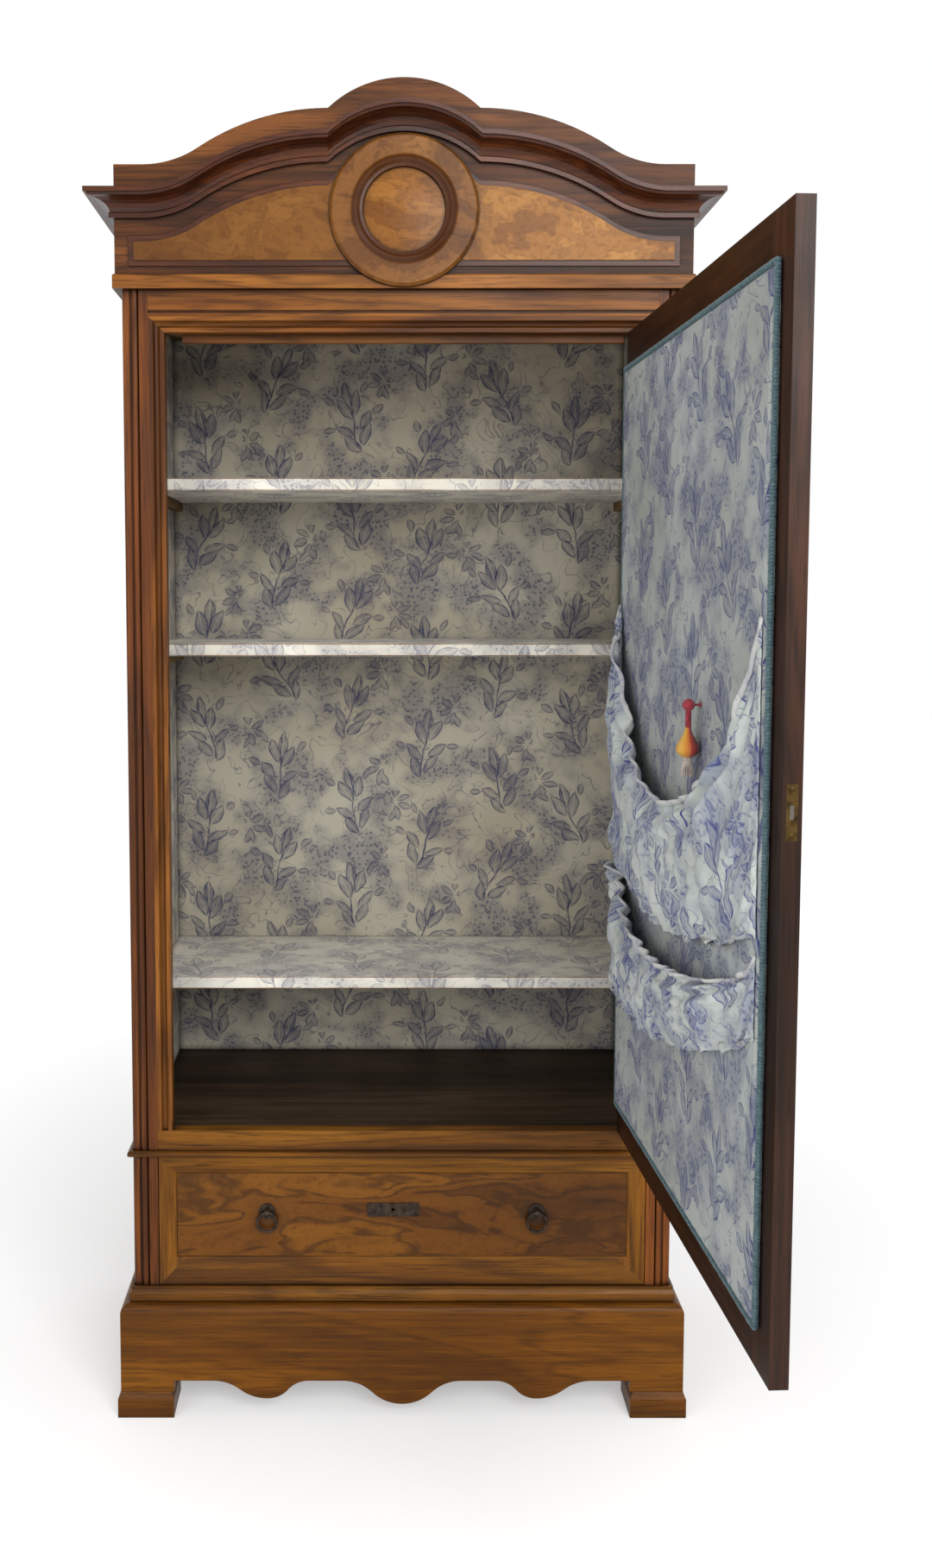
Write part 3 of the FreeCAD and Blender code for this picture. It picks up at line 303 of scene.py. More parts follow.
# burl and figured veneer
burl = {"rings": 48.0, "eyes": 9.0, "fine": (120, 120, 120), "leftShadeFrom": -0.42, "leftShadeTo": 0.25,
        "arris": 0.002, "corner": 0.028, "shadeAndGrime": 0.85, "coat": 0.08, "coatRough": 0.22}


def makeBurl(name, dark, middle, light, scale, swirl, shift, contrast=0.34, leftShade=0.0, bead=None):
    # contour lines of a wandering field, with small eyes
    # a painted shade darkens the left side; bead darkens what lies by its middle
    material, tree, shader = newMaterial(name)
    place = coordinates(tree)
    wandering = place.mapped(scale, (shift, 0.4, shift)).drifted(2.2, 3.0, swirl)
    field = wandering.noise(1.5, 4.0, 0.55, 0.5)
    lines = field.sine(burl["rings"]).spread(-1.0, 1.0)
    fine = place.mapped(burl["fine"]).noise(1.0, 3.0, 0.6)
    tone = layered(tree, field.ramp([(0.24, dark), (0.44, middle), (0.7, light)]),
                   (lines.calc("POWER", 3.0) * contrast, dark),
                   (wandering.cells(burl["eyes"]).spread(0.16, 0.02, 0.0, 0.55), dark),
                   (fine.spread(0.5, 0.75, 0.0, 0.35), dark),
                   (place.axes()[0].spread(burl["leftShadeFrom"], burl["leftShadeTo"], leftShade, 0.0), dark))
    if bead:
        fromMiddle = place.vector("SUBTRACT", bead["middle"]).vector("MULTIPLY", (1, 0, 1))
        radius = fromMiddle.vector("LENGTH")
        within = radius.spread(bead["reach"], bead["reach"] - bead["edge"], 0.0, 0.8)
        tone = layered(tree, tone, (within, bead["colour"]))
    worn, rounded = edgeWear(tree, burl["arris"])
    # painted shade in corners and recesses, with dust, then lighter rubbed arrises
    tone = layered(tree, tone, (shadeAndGrime(tree, burl["corner"], burl["shadeAndGrime"]), shaded(dark, 0.35)),
                   (worn * 0.3, light))
    setSockets(tree, shader, {
        "Base Color": tone, "Roughness": fine.spread(0.3, 0.7, 0.26, 0.44),
        "Normal": fine.bump(0.12, 0.0005, rounded), "Coat Weight": burl["coat"],
        "Coat Roughness": burl["coatRough"], "Specular IOR Level": polish["specular"]})
    return material


ringLow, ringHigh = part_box("medallion_ring")
ringBead = {"middle": [(a + b) / 2 for a, b in zip(ringLow, ringHigh)],
            "reach": (ringHigh[0] - ringLow[0]) * 0.358, "edge": 0.003, "colour": rgb(62, 28, 12)}
# the frieze is darker towards the left: painted shade
finish["burl"] = makeBurl("FriezeBurl", rgb(78, 42, 9), rgb(146, 93, 32), rgb(178, 122, 52),
                          (9, 9, 13), 0.5, 2.0, leftShade=0.78)
finish["disc"] = makeBurl("MedallionBurl", rgb(78, 42, 12), rgb(134, 83, 30), rgb(160, 106, 46),
                          (5, 9, 14), 0.6, 5.0)
finish["ring"] = makeBurl("MedallionRing", rgb(64, 35, 11), rgb(116, 71, 26), rgb(148, 98, 42),
                          (9, 9, 12), 0.4, 8.0, bead=ringBead)
finish["drawer"] = makeBurl("DrawerFigure", rgb(42, 21, 3), rgb(100, 57, 8), rgb(128, 79, 17),
                            (1.5, 4, 5.0), 0.62, 3.3, contrast=0.62)


# metals
def makeMetal(name, body, tarnish, rough, metal=1.0):
    material, tree, shader = newMaterial(name)
    place = coordinates(tree)
    cloud = place.noise(90.0, 4.0, 0.6)
    worn, rounded = edgeWear(tree, 0.0007)
    setSockets(tree, shader, {
        "Base Color": layered(tree, body, (cloud.spread(0.38, 0.66), tarnish),
                              (worn * 0.6, shaded(body, 1.6))),
        "Roughness": cloud.spread(0.3, 0.7, rough - 0.08, rough + 0.2),
        "Normal": place.noise(900.0, 2.0, 0.6).bump(0.1, 0.0003, rounded), "Metallic": metal})
    return material


finish["brass"] = makeMetal("AgedBrass", rgb(84, 66, 36), rgb(44, 35, 21), 0.44)
finish["steel"] = makeMetal("BoltSteel", rgb(110, 104, 96), rgb(64, 58, 52), 0.38)
finish["iron"] = makeMetal("DarkIron", rgb(66, 54, 44), rgb(36, 28, 23), 0.42, 0.8)


# printed cloth: leafy sprigs on a pale ground, in dropped columns, each turned a little
sprig = {
    "repeat": (0.150, 0.196), "drop": 0.382, "lean": 0.42,
    "stem": 0.0013, "stemReach": (0.070, 0.056), "sway": (32.0, 0.006), "rib": 0.11,
    "hatch": 2300.0,
    # foot x, foot y, lean in degrees, length, half-width
    "leaves": [(-0.004, -0.070, 118, 0.044, 0.0095), (0.002, -0.060, 58, 0.047, 0.0100),
               (-0.006, -0.036, 140, 0.042, 0.0085), (0.006, -0.026, 38, 0.044, 0.0090),
               (-0.002, -0.004, 112, 0.052, 0.0110), (0.006, 0.004, 66, 0.050, 0.0100),
               (0.002, 0.020, 92, 0.050, 0.0100), (-0.040, -0.014, 168, 0.024, 0.0060),
               (0.042, -0.004, 14, 0.026, 0.0065), (-0.030, 0.034, 128, 0.026, 0.0065),
               (0.032, 0.040, 52, 0.026, 0.0060)],
    "smallLeaves": [(0.058, 0.070, 200, 0.030, 0.0070), (0.060, 0.076, 150, 0.028, 0.0065),
                    (0.064, 0.066, 250, 0.032, 0.0070), (0.068, 0.076, 20, 0.026, 0.0060),
                    (0.064, 0.084, 84, 0.030, 0.0070), (0.060, 0.058, 300, 0.028, 0.0065)],
}


def leafField(local, leaf):
    # above 0 within the leaf; also how far a spot lies from its rib
    x, y, lean, length, width = leaf
    own = local.mapped((length, width, 1), (x, y, 0), (0, 0, math.radians(lean)), "TEXTURE")
    along, off, _ = own.axes()
    fromRib = abs(off)
    return along * along.rest() * 4.0 - fromRib, fromRib


def makeToile(name, ground, ink, soft, strength, ageing):
    material, tree, shader = newMaterial(name)
    flat = clothMap(tree)
    drawn = flat.drifted(16.0, 2.0, 0.022)
    # the cell that a spot lies in, its own flip and lean, and the spot's place in it
    across, down = sprig["repeat"]
    drawnX, drawnY, _ = drawn.axes()
    column = drawnX / across
    columnIndex = column.calc("FLOOR")
    row = drawnY / down + columnIndex * sprig["drop"]
    cell = columnIndex.join(row.calc("FLOOR"))
    chance = fieldOf(tree, "ShaderNodeTexWhiteNoise", "Color", {"Vector": cell},
                     noise_dimensions="3D")
    flipChance, leanChance, _ = chance.axes()
    localX = (column.calc("FRACT") - 0.5) * across * (flipChance - 0.5).calc("SIGN")
    localY = (row.calc("FRACT") - 0.5) * down
    local = localX.join(localY)
    lean = leanChance.spread(0.0, 1.0, -sprig["lean"], sprig["lean"])
    leaning = fieldOf(tree, "ShaderNodeVectorRotate", 0, {"Vector": local, "Angle": lean},
                      rotation_type="Z_AXIS")
    # leaves with outline, hatching and rib
    shapes, ribs = [], []
    for spot, leaves in ((leaning, sprig["leaves"]), (local, sprig["smallLeaves"])):
        for leaf in leaves:
            field, fromRib = leafField(spot, leaf)
            shapes.append(field)
            ribs.append(field.calc("GREATER_THAN", 0.0) * fromRib.calc("LESS_THAN", sprig["rib"]))
    shape = shapes[0].most(*shapes[1:])
    rib = ribs[0].most(*ribs[1:])
    outline = shape.spread(-0.16, 0.0) * shape.spread(0.34, 0.12)
    hatched = shape.spread(0.0, 0.12)
    hatched *= (localX + localY).sine(sprig["hatch"]).spread(-0.4, 0.6, 0.25, 0.8)
    # swaying stem, loose twigs and dotted tufts
    leantX, leantY, _ = leaning.axes()
    waves, swing = sprig["sway"]
    fromStem = abs(leantX - leantY.sine(waves) * swing)
    stem = fromStem.spread(sprig["stem"] * 1.6, sprig["stem"] * 0.7)
    stem *= abs(leantY).spread(*sprig["stemReach"])
    scroll = drawn.noise(15.0, 2.0, 0.5, 0.8) * 6.0
    twigs = abs(scroll.calc("FRACT") - 0.5).spread(0.055, 0.02) * 0.6
    where = drawn.noise(13.0, 2.0)
    tufts = drawn.cells(115.0, 0.8).spread(0.42, 0.24) * where.spread(0.47, 0.60, 0.0, 0.75)
    # worn print over an aged, washed ground
    uneven = flat.noise(60.0, 2.0).spread(0.3, 0.62, strength * 0.55, strength)
    mark = hatched.most(outline, stem, twigs, tufts) * (rib * 0.6).rest() * uneven
    tone = layered(tree, ground, (flat.noise(3.4, 3.0).spread(0.36, 0.68, 0.0, ageing), soft),
                   (where.spread(0.42, 0.62) * (strength * 0.42), ink), (mark, ink))
    threads = flat.mapped((1500, 1500, 1))
    weave = fieldOf(tree, "ShaderNodeTexChecker", "Fac", {"Vector": threads, "Scale": 1.0})
    slub = flat.mapped((900, 60, 1)).noise(1.0, 2.0)
    setSockets(tree, shader, {
        "Base Color": tone, "Roughness": slub.spread(0.2, 0.8, 0.78, 0.95),
        "Normal": (weave * 0.5 + slub).bump(0.25, 0.0006), "Sheen Weight": 0.08,
        "Specular IOR Level": 0.22})
    return material


# ground, ink, aged ground, strength of the print, ageing
finish["doorToile"] = makeToile("DoorToile", rgb(183, 189, 187), rgb(46, 54, 112),
                                rgb(154, 157, 146), 0.96, 0.7)
finish["pocketToile"] = makeToile("PocketToile", rgb(204, 210, 206), rgb(46, 55, 126),
                                  rgb(172, 178, 170), 0.98, 0.5)
# the shelf cloth's pale ground is partly its own colour and partly painted light, raised for the
# light on the shelf tops
finish["shelfToile"] = makeToile("ShelfToile", rgb(238, 233, 220), rgb(80, 84, 122),
                                 rgb(216, 208, 188), 0.66, 0.6)
finish["insideToile"] = makeToile("InsideToile", rgb(194, 188, 171), rgb(54, 59, 94),
                                  rgb(167, 157, 135), 0.95, 0.8)
finish["hem"] = makeToile("HemToile", rgb(208, 208, 204), rgb(112, 118, 166), rgb(180, 180, 172),
                          0.5, 0.4)


def makeThread(name, colour, dark):
    # silk or gimp: fine turned threads
    material, tree, shader = newMaterial(name)
    place = coordinates(tree)
    lines = fieldOf(tree, "ShaderNodeTexWave", "Fac",
                    {"Vector": place, "Scale": 900.0, "Distortion": 1.5}, wave_type="BANDS",
                    bands_direction="DIAGONAL")
    cloud = place.noise(140.0, 3.0)
    setSockets(tree, shader, {
        "Base Color": layered(tree, colour, (cloud.spread(0.35, 0.7), dark)),
        "Roughness": cloud.spread(0.3, 0.7, 0.5, 0.75), "Normal": lines.bump(0.4, 0.0005),
        "Sheen Weight": 0.3})
    return material


finish["gimp"] = makeThread("EdgingGimp", rgb(78, 110, 116), rgb(46, 72, 80))
finish["redSilk"] = makeThread("RedSilk", rgb(168, 34, 52), rgb(104, 16, 30))
finish["fringeSilk"] = makeThread("FringeSilk", rgb(206, 196, 186), rgb(168, 150, 140))
print("materials made")


# which finish each CAD piece wears
wornBy = {
    "upright": ["front_posts"],
    "across": ["top_rail", "door_stop", "frieze_band"],
    "architrave": ["architrave"],
    "sill": ["sill_rail", "bottom_rail", "waist_moulding", "base_moulding"],
    "drawerFrame": ["drawer_mouldings"],
    "plinth": ["plinth_front", "plinth_moulding", "front_feet", "rear_feet", "plinth_back"],
    "plinthSide": ["plinth_sides"],
    "crown": ["crown_moulding", "frieze_frames"],
    "crownReturn": ["crown_returns"],
    "crest": ["pediment_board"],
    "doorUpright": ["door_stile_lock", "door_stile_hinge"],
    "doorAcross": ["door_rails"],
    "doorFront": ["door_panel"],
    "sideUpright": ["side_panels"],
    "sideFrame": ["side_frames"],
    "sideAcross": ["pediment_sides"],
    "floor": ["cabinet_floor"],
    "pale": ["drawer_deck", "roof_board", "drawer_back", "drawer_bottom", "shelf_lower",
             "shelf_middle", "shelf_upper", "back_lining"],
    "paleUpright": ["back_boards", "side_linings"],
    "paleDeep": ["drawer_sides", "drawer_guides", "shelf_cleats"],
    "burl": ["frieze_panels"],
    "disc": ["medallion_disc"],
    "ring": ["medallion_ring"],
    "drawer": ["drawer_front"],
    "brass": ["hinge_door_leaves", "hinge_frame_leaves", "door_lock", "door_escutcheon",
              "door_strike"],
    "steel": ["door_bolt", "drawer_bolt"],
    "iron": ["drawer_lock", "pull_roses", "pull_ring_left", "pull_ring_right"],
    "doorToile": ["door_lining"],
    "pocketToile": ["pocket_upper", "pocket_lower"],
    "redSilk": ["tassel"],
}
for key, names in wornBy.items():
    for name in names:
        mesh = nodes[name].data
        mesh.materials.clear()
        mesh.materials.append(finish[key])
left = sorted(set(nodes) - {name for names in wornBy.values() for name in names})
print("finishes given, left over:", left)


# mesh helpers
def addObject(name, data):
    piece = bpy.data.objects.new(name, data)
    bpy.context.scene.collection.objects.link(piece)
    return piece


def plainMesh(name, points, edges, faces):
    mesh = bpy.data.meshes.new(name)
    mesh.from_pydata([tuple(p) for p in points], edges, faces)
    return addObject(name, mesh)


def smooth(mesh):
    for face in mesh.polygons:
        face.use_smooth = True


def meshObject(name, points, faces, material, uvs):
    piece = plainMesh(name, points, [], faces)
    mesh = piece.data
    layer = mesh.uv_layers.new(name="cloth")
    for loop in mesh.loops:
        layer.data[loop.index].uv = uvs[loop.vertex_index]
    mesh.materials.append(material)
    smooth(mesh)
    return piece


def gridShares(rows, columns):
    # how far across and up each point of a grid lies, row by row
    return [(j / (columns - 1), i / (rows - 1)) for i in range(rows) for j in range(columns)]


def gridFaces(rows, columns):
    faces = []
    for i in range(rows - 1):
        for j in range(columns - 1):
            a = i * columns + j
            faces.append((a, a + 1, a + columns + 1, a + columns))
    return faces


def tubeFaces(rings, sides):
    # skin of a tube given ring by ring, with a cap at each end
    faces = []
    for i in range(rings - 1):
        for k in range(sides):
            a, b = i * sides + k, i * sides + (k + 1) % sides
            faces.append((a, b, b + sides, a + sides))
    top = (rings - 1) * sides
    return faces + [tuple(range(sides - 1, -1, -1)), tuple(top + k for k in range(sides))]


def faceOutward(piece, weld=None):
    # turns the faces outward; with a weld, points that meet are joined and open ends closed first
    shell = bmesh.new()
    shell.from_mesh(piece.data)
    if weld:
        bmesh.ops.remove_doubles(shell, verts=shell.verts, dist=weld)
        bmesh.ops.holes_fill(shell, edges=shell.edges, sides=0)
    bmesh.ops.recalc_face_normals(shell, faces=shell.faces)
    shell.to_mesh(piece.data)
    shell.free()


def thicken(piece, thickness, offset=1.0):
    wall = piece.modifiers.new("Wall", "SOLIDIFY")
    wall.thickness = thickness
    wall.offset = offset
    wall.use_even_offset = False


def smoothCurve(points, at):
    # Catmull-Rom through points (place, value); held level past its ends
    if at <= points[0][0]:
        return points[0][1]
    if at >= points[-1][0]:
        return points[-1][1]
    for k in range(len(points) - 1):
        if at <= points[k + 1][0]:
            break
    p1, p2 = points[k], points[k + 1]
    p0 = points[k - 1] if k > 0 else p1
    p3 = points[k + 2] if k + 2 < len(points) else p2
    t = (at - p1[0]) / (p2[0] - p1[0])
    m1 = (p2[1] - p0[1]) / max(1e-6, p2[0] - p0[0]) * (p2[0] - p1[0])
    m2 = (p3[1] - p1[1]) / max(1e-6, p3[0] - p1[0]) * (p2[0] - p1[0])
    return ((2 * t ** 3 - 3 * t ** 2 + 1) * p1[1] + (t ** 3 - 2 * t ** 2 + t) * m1
            + (-2 * t ** 3 + 3 * t ** 2) * p2[1] + (t ** 3 - t ** 2) * m2)


def wave(x, y, z=0.0):
    return noise.noise(Vector((x, y, z)))


# the door stands open; its soft pieces are worked out with it shut
hinge = {"x": 0.40725, "y": -0.473, "open": math.radians(92.6), "liningFace": -0.436,
         "leafHeights": (0.718, 1.2135, 1.709)}


def onDoor(s, n, z):
    # s from the hinge towards the free edge, n off the lining's face
    x = -s
    y = hinge["liningFace"] + n - hinge["y"]
    c, d = math.cos(hinge["open"]), math.sin(hinge["open"])
    return Vector((hinge["x"] + x * c - y * d, hinge["y"] + x * d + y * c, z))


def doorWay(s, n):
    # a direction by the same measures
    return onDoor(s, n, 0) - onDoor(0, 0, 0)


# cloths on the back, sides and shelves
inside = {"half": 0.4562, "backFace": -0.020, "backGap": 0.0004, "front": -0.425, "endGap": 0.0005,
          "foot": 0.5165, "head": 1.9815, "cell": 0.014, "wall": 0.0006,
          "pucker": 0.0012, "tuck": 0.0006, "tuckReach": 0.02, "flatEdge": 0.01}
half, backFace, front, foot = inside["half"], inside["backFace"], inside["front"], inside["foot"]
tall = inside["head"] - foot
deep = backFace - front - 2 * inside["endGap"]


def stretchOver(name, points, uvs, rows, columns, material):
    piece = meshObject(name, points, gridFaces(rows, columns), material, uvs)
    thicken(piece, inside["wall"])
    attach(piece, "case")


def stretchedCloth(name, width, placer):
    columns = int(width / inside["cell"]) + 2
    rows = int(tall / inside["cell"]) + 2
    points, uvs = [], []
    for u, v in gridShares(rows, columns):
        a, b = width * u, tall * v
        edge = min(a, width - a, b, tall - b)
        soft = max(0.0, wave(a * 9, b * 5, len(name))) * inside["pucker"]
        tuck = (0.5 + 0.5 * math.sin((a + b) * 260)) * inside["tuck"]
        tuck *= math.exp(-edge / inside["tuckReach"])
        points.append(placer(a, foot + b, (soft + tuck) * min(1.0, edge / inside["flatEdge"])))
        uvs.append((a, b))
    stretchOver(name, points, uvs, rows, columns, finish["insideToile"])


stretchedCloth("back_cloth", 2 * half,
               lambda a, z, lift: (-half + a, backFace - inside["backGap"] - lift, z))
stretchedCloth("left_cloth", deep,
               lambda a, z, lift: (-half + lift, front + inside["endGap"] + a, z))
stretchedCloth("right_cloth", deep,
               lambda a, z, lift: (half - lift, backFace - inside["endGap"] - a, z))

shelfCloth = {"proud": 0.0008, "round": 0.004, "half": 0.4555, "cell": 0.012, "pucker": 0.0009,
              "steps": 22, "turns": 6}


def wrapShelf(name, node):
    # cloth over the top, round the front edge and back along the underside
    low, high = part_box(node)
    r, p, steps = shelfCloth["round"], shelfCloth["proud"], shelfCloth["steps"]
    run = high[1] - low[1] - r
    turns = [math.pi / 2 * k / shelfCloth["turns"] for k in range(shelfCloth["turns"] + 1)]
    path = [(high[1] - run * k / steps, high[2] + p) for k in range(steps + 1)]
    path += [(low[1] + r - (r + p) * math.sin(turn), high[2] - r + (r + p) * math.cos(turn))
             for turn in turns[1:]]
    path.append((low[1] - p, (low[2] + high[2]) / 2))
    path += [(low[1] + r - (r + p) * math.cos(turn), low[2] + r - (r + p) * math.sin(turn))
             for turn in turns]
    path += [(low[1] + r + run * k / steps, low[2] - p) for k in range(1, steps + 1)]
    lengths = [0.0]
    for a, b in zip(path, path[1:]):
        lengths.append(lengths[-1] + math.hypot(b[0] - a[0], b[1] - a[1]))
    width = 2 * shelfCloth["half"]
    columns = int(width / shelfCloth["cell"]) + 1
    points, uvs = [], []
    for i, (y, z) in enumerate(path):
        for j in range(columns):
            x = -shelfCloth["half"] + width * j / (columns - 1)
            soft = max(0.0, wave(x * 12, lengths[i] * 14, high[2])) * shelfCloth["pucker"]
            out = -soft if i in range(steps, len(path) - steps) else 0.0
            up = soft if i < steps else (-soft if i > len(path) - steps else 0.0)
            points.append((x, y + out, z + up))
            uvs.append((x, -lengths[i] + high[2]))
    stretchOver(name, points, uvs, len(path), columns, finish["shelfToile"])


for shelf in ("shelf_lower", "shelf_middle", "shelf_upper"):
    wrapShelf(shelf.replace("shelf", "cloth"), shelf)
print("inside cloths laid")


# padded lining of the door
pad = {"sFrom": 0.01475, "sTo": 0.77175, "foot": 0.576, "head": 1.845, "thick": 0.010,
       "round": 0.007, "cell": 0.011, "printShift": (0.043, 0.061), "ease": 0.055, "swell": 0.0022,
       "tuck": 0.0010, "tuckReach": 0.03, "flatEdge": 0.02, "most": 0.0030, "sunk": 0.001}


def eased(share):
    # closer steps by the edges, for the rounding
    return share - pad["ease"] * math.sin(2 * math.pi * share)


def makePad():
    wide = pad["sTo"] - pad["sFrom"]
    high = pad["head"] - pad["foot"]
    columns = int(wide / pad["cell"]) + 2
    rows = int(high / pad["cell"]) + 2
    r = pad["round"]
    points, spots = [], []
    for u, v in gridShares(rows, columns):
        a, b = wide * eased(u), high * eased(v)
        edge = min(a, wide - a, b, high - b)
        drop = r - math.sqrt(max(0.0, r * r - max(0.0, r - edge) ** 2)) if edge < r else 0.0
        swell = pad["swell"] * math.sin(math.pi * a / wide) * math.sin(math.pi * b / high)
        soft = 0.0012 * wave(a * 7, b * 4, 3.0) + 0.0006 * wave(a * 30, b * 9, 5.0)
        tuck = pad["tuck"] * math.sin((a + b) * 190 + 3 * wave(a * 6, b * 6))
        tuck *= math.exp(-edge / pad["tuckReach"])
        relief = (swell + soft + tuck) * min(1.0, edge / pad["flatEdge"])
        s, z = pad["sFrom"] + a, pad["foot"] + b
        points.append(onDoor(s, min(pad["most"], relief) - drop - pad["sunk"], z))
        spots.append((s, z))
    faces = gridFaces(rows, columns)
    rim = list(range(columns)) + [i * columns + columns - 1 for i in range(1, rows)]
    rim += [(rows - 1) * columns + j for j in range(columns - 2, -1, -1)]
    rim += [i * columns for i in range(rows - 2, 0, -1)]
    start, count = len(points), len(rim)
    for k, corner in enumerate(rim):
        s, z = spots[corner]
        points.append(onDoor(s, -pad["thick"], z))
        spots.append((s, z))
        faces.append((rim[(k + 1) % count], corner, start + k, start + (k + 1) % count))
    faces.append(tuple(start + k for k in range(count)))
    uvs = [(s + pad["printShift"][0], z + pad["printShift"][1]) for s, z in spots]
    piece = meshObject("door_pad", points, faces, finish["doorToile"], uvs)
    faceOutward(piece)
    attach(piece, "door")
    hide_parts("door_lining")


makePad()
print("door lining padded")


# gathered pockets on the lining
pocketLook = {
    "pocket_upper": {
        "name": "upper_pocket_cloth",
        "lip": [(0.027, 1.448), (0.065, 1.392), (0.16, 1.300), (0.25, 1.238), (0.35, 1.200),
                (0.47, 1.196), (0.60, 1.236), (0.69, 1.310), (0.735, 1.376), (0.764, 1.436)],
        "foot": [(0.027, 1.052), (0.12, 1.018), (0.26, 0.986), (0.40, 0.984), (0.55, 1.004),
                 (0.68, 1.030), (0.764, 1.052)],
        "belly": 0.050, "lipOut": 0.038, "folds": 13, "seed": 2.0},
    "pocket_lower": {
        "name": "lower_pocket_cloth",
        "lip": [(0.027, 1.030), (0.11, 1.006), (0.22, 0.972), (0.33, 0.954), (0.44, 0.958),
                (0.56, 0.974), (0.66, 0.994), (0.764, 1.030)],
        "foot": [(0.027, 0.786), (0.20, 0.788), (0.40, 0.816), (0.58, 0.866), (0.70, 0.905),
                 (0.764, 0.926)],
        "belly": 0.045, "lipOut": 0.033, "folds": 15, "seed": 7.0},
}
# fullness: cloth width against the pocket's width, as printed and as cut
pocket = {"columns": 132, "rows": 66, "printFullness": 1.35, "fullness": 1.22, "wall": 0.0011,
          "clear": 0.0016, "sFrom": 0.027, "sTo": 0.764, "frames": 16, "reach": 0.024, "seamRow": 2,
          "seamLift": 0.0013}


def pocketPoint(look, u, v):
    # u from the hinge side to the free side, v from the foot to the lip
    s = pocket["sFrom"] + (pocket["sTo"] - pocket["sFrom"]) * u
    foot = smoothCurve(look["foot"], s)
    lip = smoothCurve(look["lip"], s)
    z = foot + (lip - foot) * v
    # the belly, held down at both sides
    hold = min(1.0, u / 0.045) ** 0.45 * min(1.0, (1 - u) / 0.20) ** 0.6
    rise = math.sin(math.pi * min(1.0, v * 0.62 + 0.02)) ** 0.8
    body = look["belly"] * rise + (look["lipOut"] - look["belly"] * 0.9) * max(0.0, v - 0.6) / 0.4
    # uneven gathers from foot and lip
    seed = look["seed"]
    drift = 0.055 * wave(u * 3.1, v * 1.3, seed + 4) + 0.02 * wave(u * 8, v * 3, seed)
    phase = 2 * math.pi * look["folds"] * (u + drift)
    uneven = 0.45 + 1.1 * abs(wave(u * 5.3 + seed, v * 1.7, 2.0 * seed))
    depth = (0.0080 * math.exp(-v / 0.34) + 0.0034 * math.exp(-(1 - v) / 0.3) + 0.0030) * uneven
    slower = math.sin(0.57 * phase + 1.7 + 4 * wave(u * 4, v * 2, seed))
    fold = depth * (math.sin(phase) + 0.5 * slower)
    # swags that run out from the two upper corners, and crumples
    cornerLeft = math.atan2(1.0 - v + 0.04, u + 0.02)
    cornerRight = math.atan2(1.0 - v + 0.04, 1.02 - u)
    swag = 0.008 * math.sin(cornerLeft * 13 + seed) * math.exp(-(u * u + (1 - v) ** 2) / 0.2)
    byRight = math.exp(-((1 - u) ** 2 + (1 - v) ** 2) / 0.24)
    swag += 0.010 * math.sin(cornerRight * 13 + seed) * byRight
    crumple = 0.005 * wave(u * 11 + seed, v * 9, 1.0) + 0.0025 * wave(u * 26, v * 20, seed)
    n = 0.0022 + hold * (body + fold + swag + crumple * rise)
    return s, max(pocket["clear"], n), z


clothSettings = {"quality": 6, "mass": 0.2, "tension_stiffness": 14, "compression_stiffness": 14,
                 "shear_stiffness": 5, "bending_stiffness": 0.06, "air_damping": 3,
                 "shrink_min": -0.09, "vertex_group_mass": "Sewn"}


def settleCloth(piece, pinned):
    # hangs the cloth from its sewn edges; no point passes its reach or enters the lining
    start = [vertex.co.copy() for vertex in piece.data.vertices]
    sewn = piece.vertex_groups.new(name="Sewn")
    sewn.add(sorted(pinned), 1.0, "REPLACE")
    modifier = piece.modifiers.new("Settle", "CLOTH")
    for key, value in clothSettings.items():
        setattr(modifier.settings, key, value)
    modifier.collision_settings.use_collision = False
    modifier.point_cache.frame_start = 1
    modifier.point_cache.frame_end = pocket["frames"]
    scene = bpy.context.scene
    for moment in range(1, pocket["frames"] + 1):
        scene.frame_set(moment)
    settled = piece.evaluated_get(bpy.context.evaluated_depsgraph_get()).data
    origin, outward = onDoor(0, 0, 0), doorWay(0, 1)
    places = []
    for before, vertex in zip(start, settled.vertices):
        move = vertex.co - before
        if move.length > pocket["reach"]:
            move = move * (pocket["reach"] / move.length)
        place = before + move
        sunk = pocket["clear"] - (place - origin).dot(outward)
        places.append(place + outward * max(0.0, sunk))
    piece.modifiers.remove(modifier)
    piece.vertex_groups.remove(sewn)
    scene.frame_set(1)
    for vertex, place in zip(piece.data.vertices, places):
        vertex.co = place
    piece.data.update()
    print(piece.name, "settled")


hemLook = {"ring": 10, "high": 0.0042, "deep": 0.0022, "print": 0.012}


def makeHem(look, lip, under, printAcross):
    # rolled hem along the lip
    count, ring = len(lip), hemLook["ring"]
    points, uvs = [], []
    for j in range(count):
        tangent = (lip[min(count - 1, j + 1)] - lip[max(0, j - 1)]).normalized()
        outward = tangent.cross((lip[j] - under[j]).normalized()).normalized()
        upward = outward.cross(tangent).normalized()
        for k in range(ring):
            turn = 2 * math.pi * k / ring
            flute = 1.0 + 0.25 * wave(j * 0.37, 0.0, look["seed"])
            flute += 0.15 * wave(j * 0.9, k * 0.4, look["seed"])
            points.append(lip[j] + upward * hemLook["high"] * flute * math.sin(turn)
                          + outward * hemLook["deep"] * flute * math.cos(turn))
            uvs.append((printAcross[j], lip[j].z + hemLook["print"] * k / ring))
    hem = meshObject(look["name"].replace("cloth", "hem"), points, tubeFaces(count, ring),
                     finish["hem"], uvs)
    faceOutward(hem)
    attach(hem, "door")
    return hem


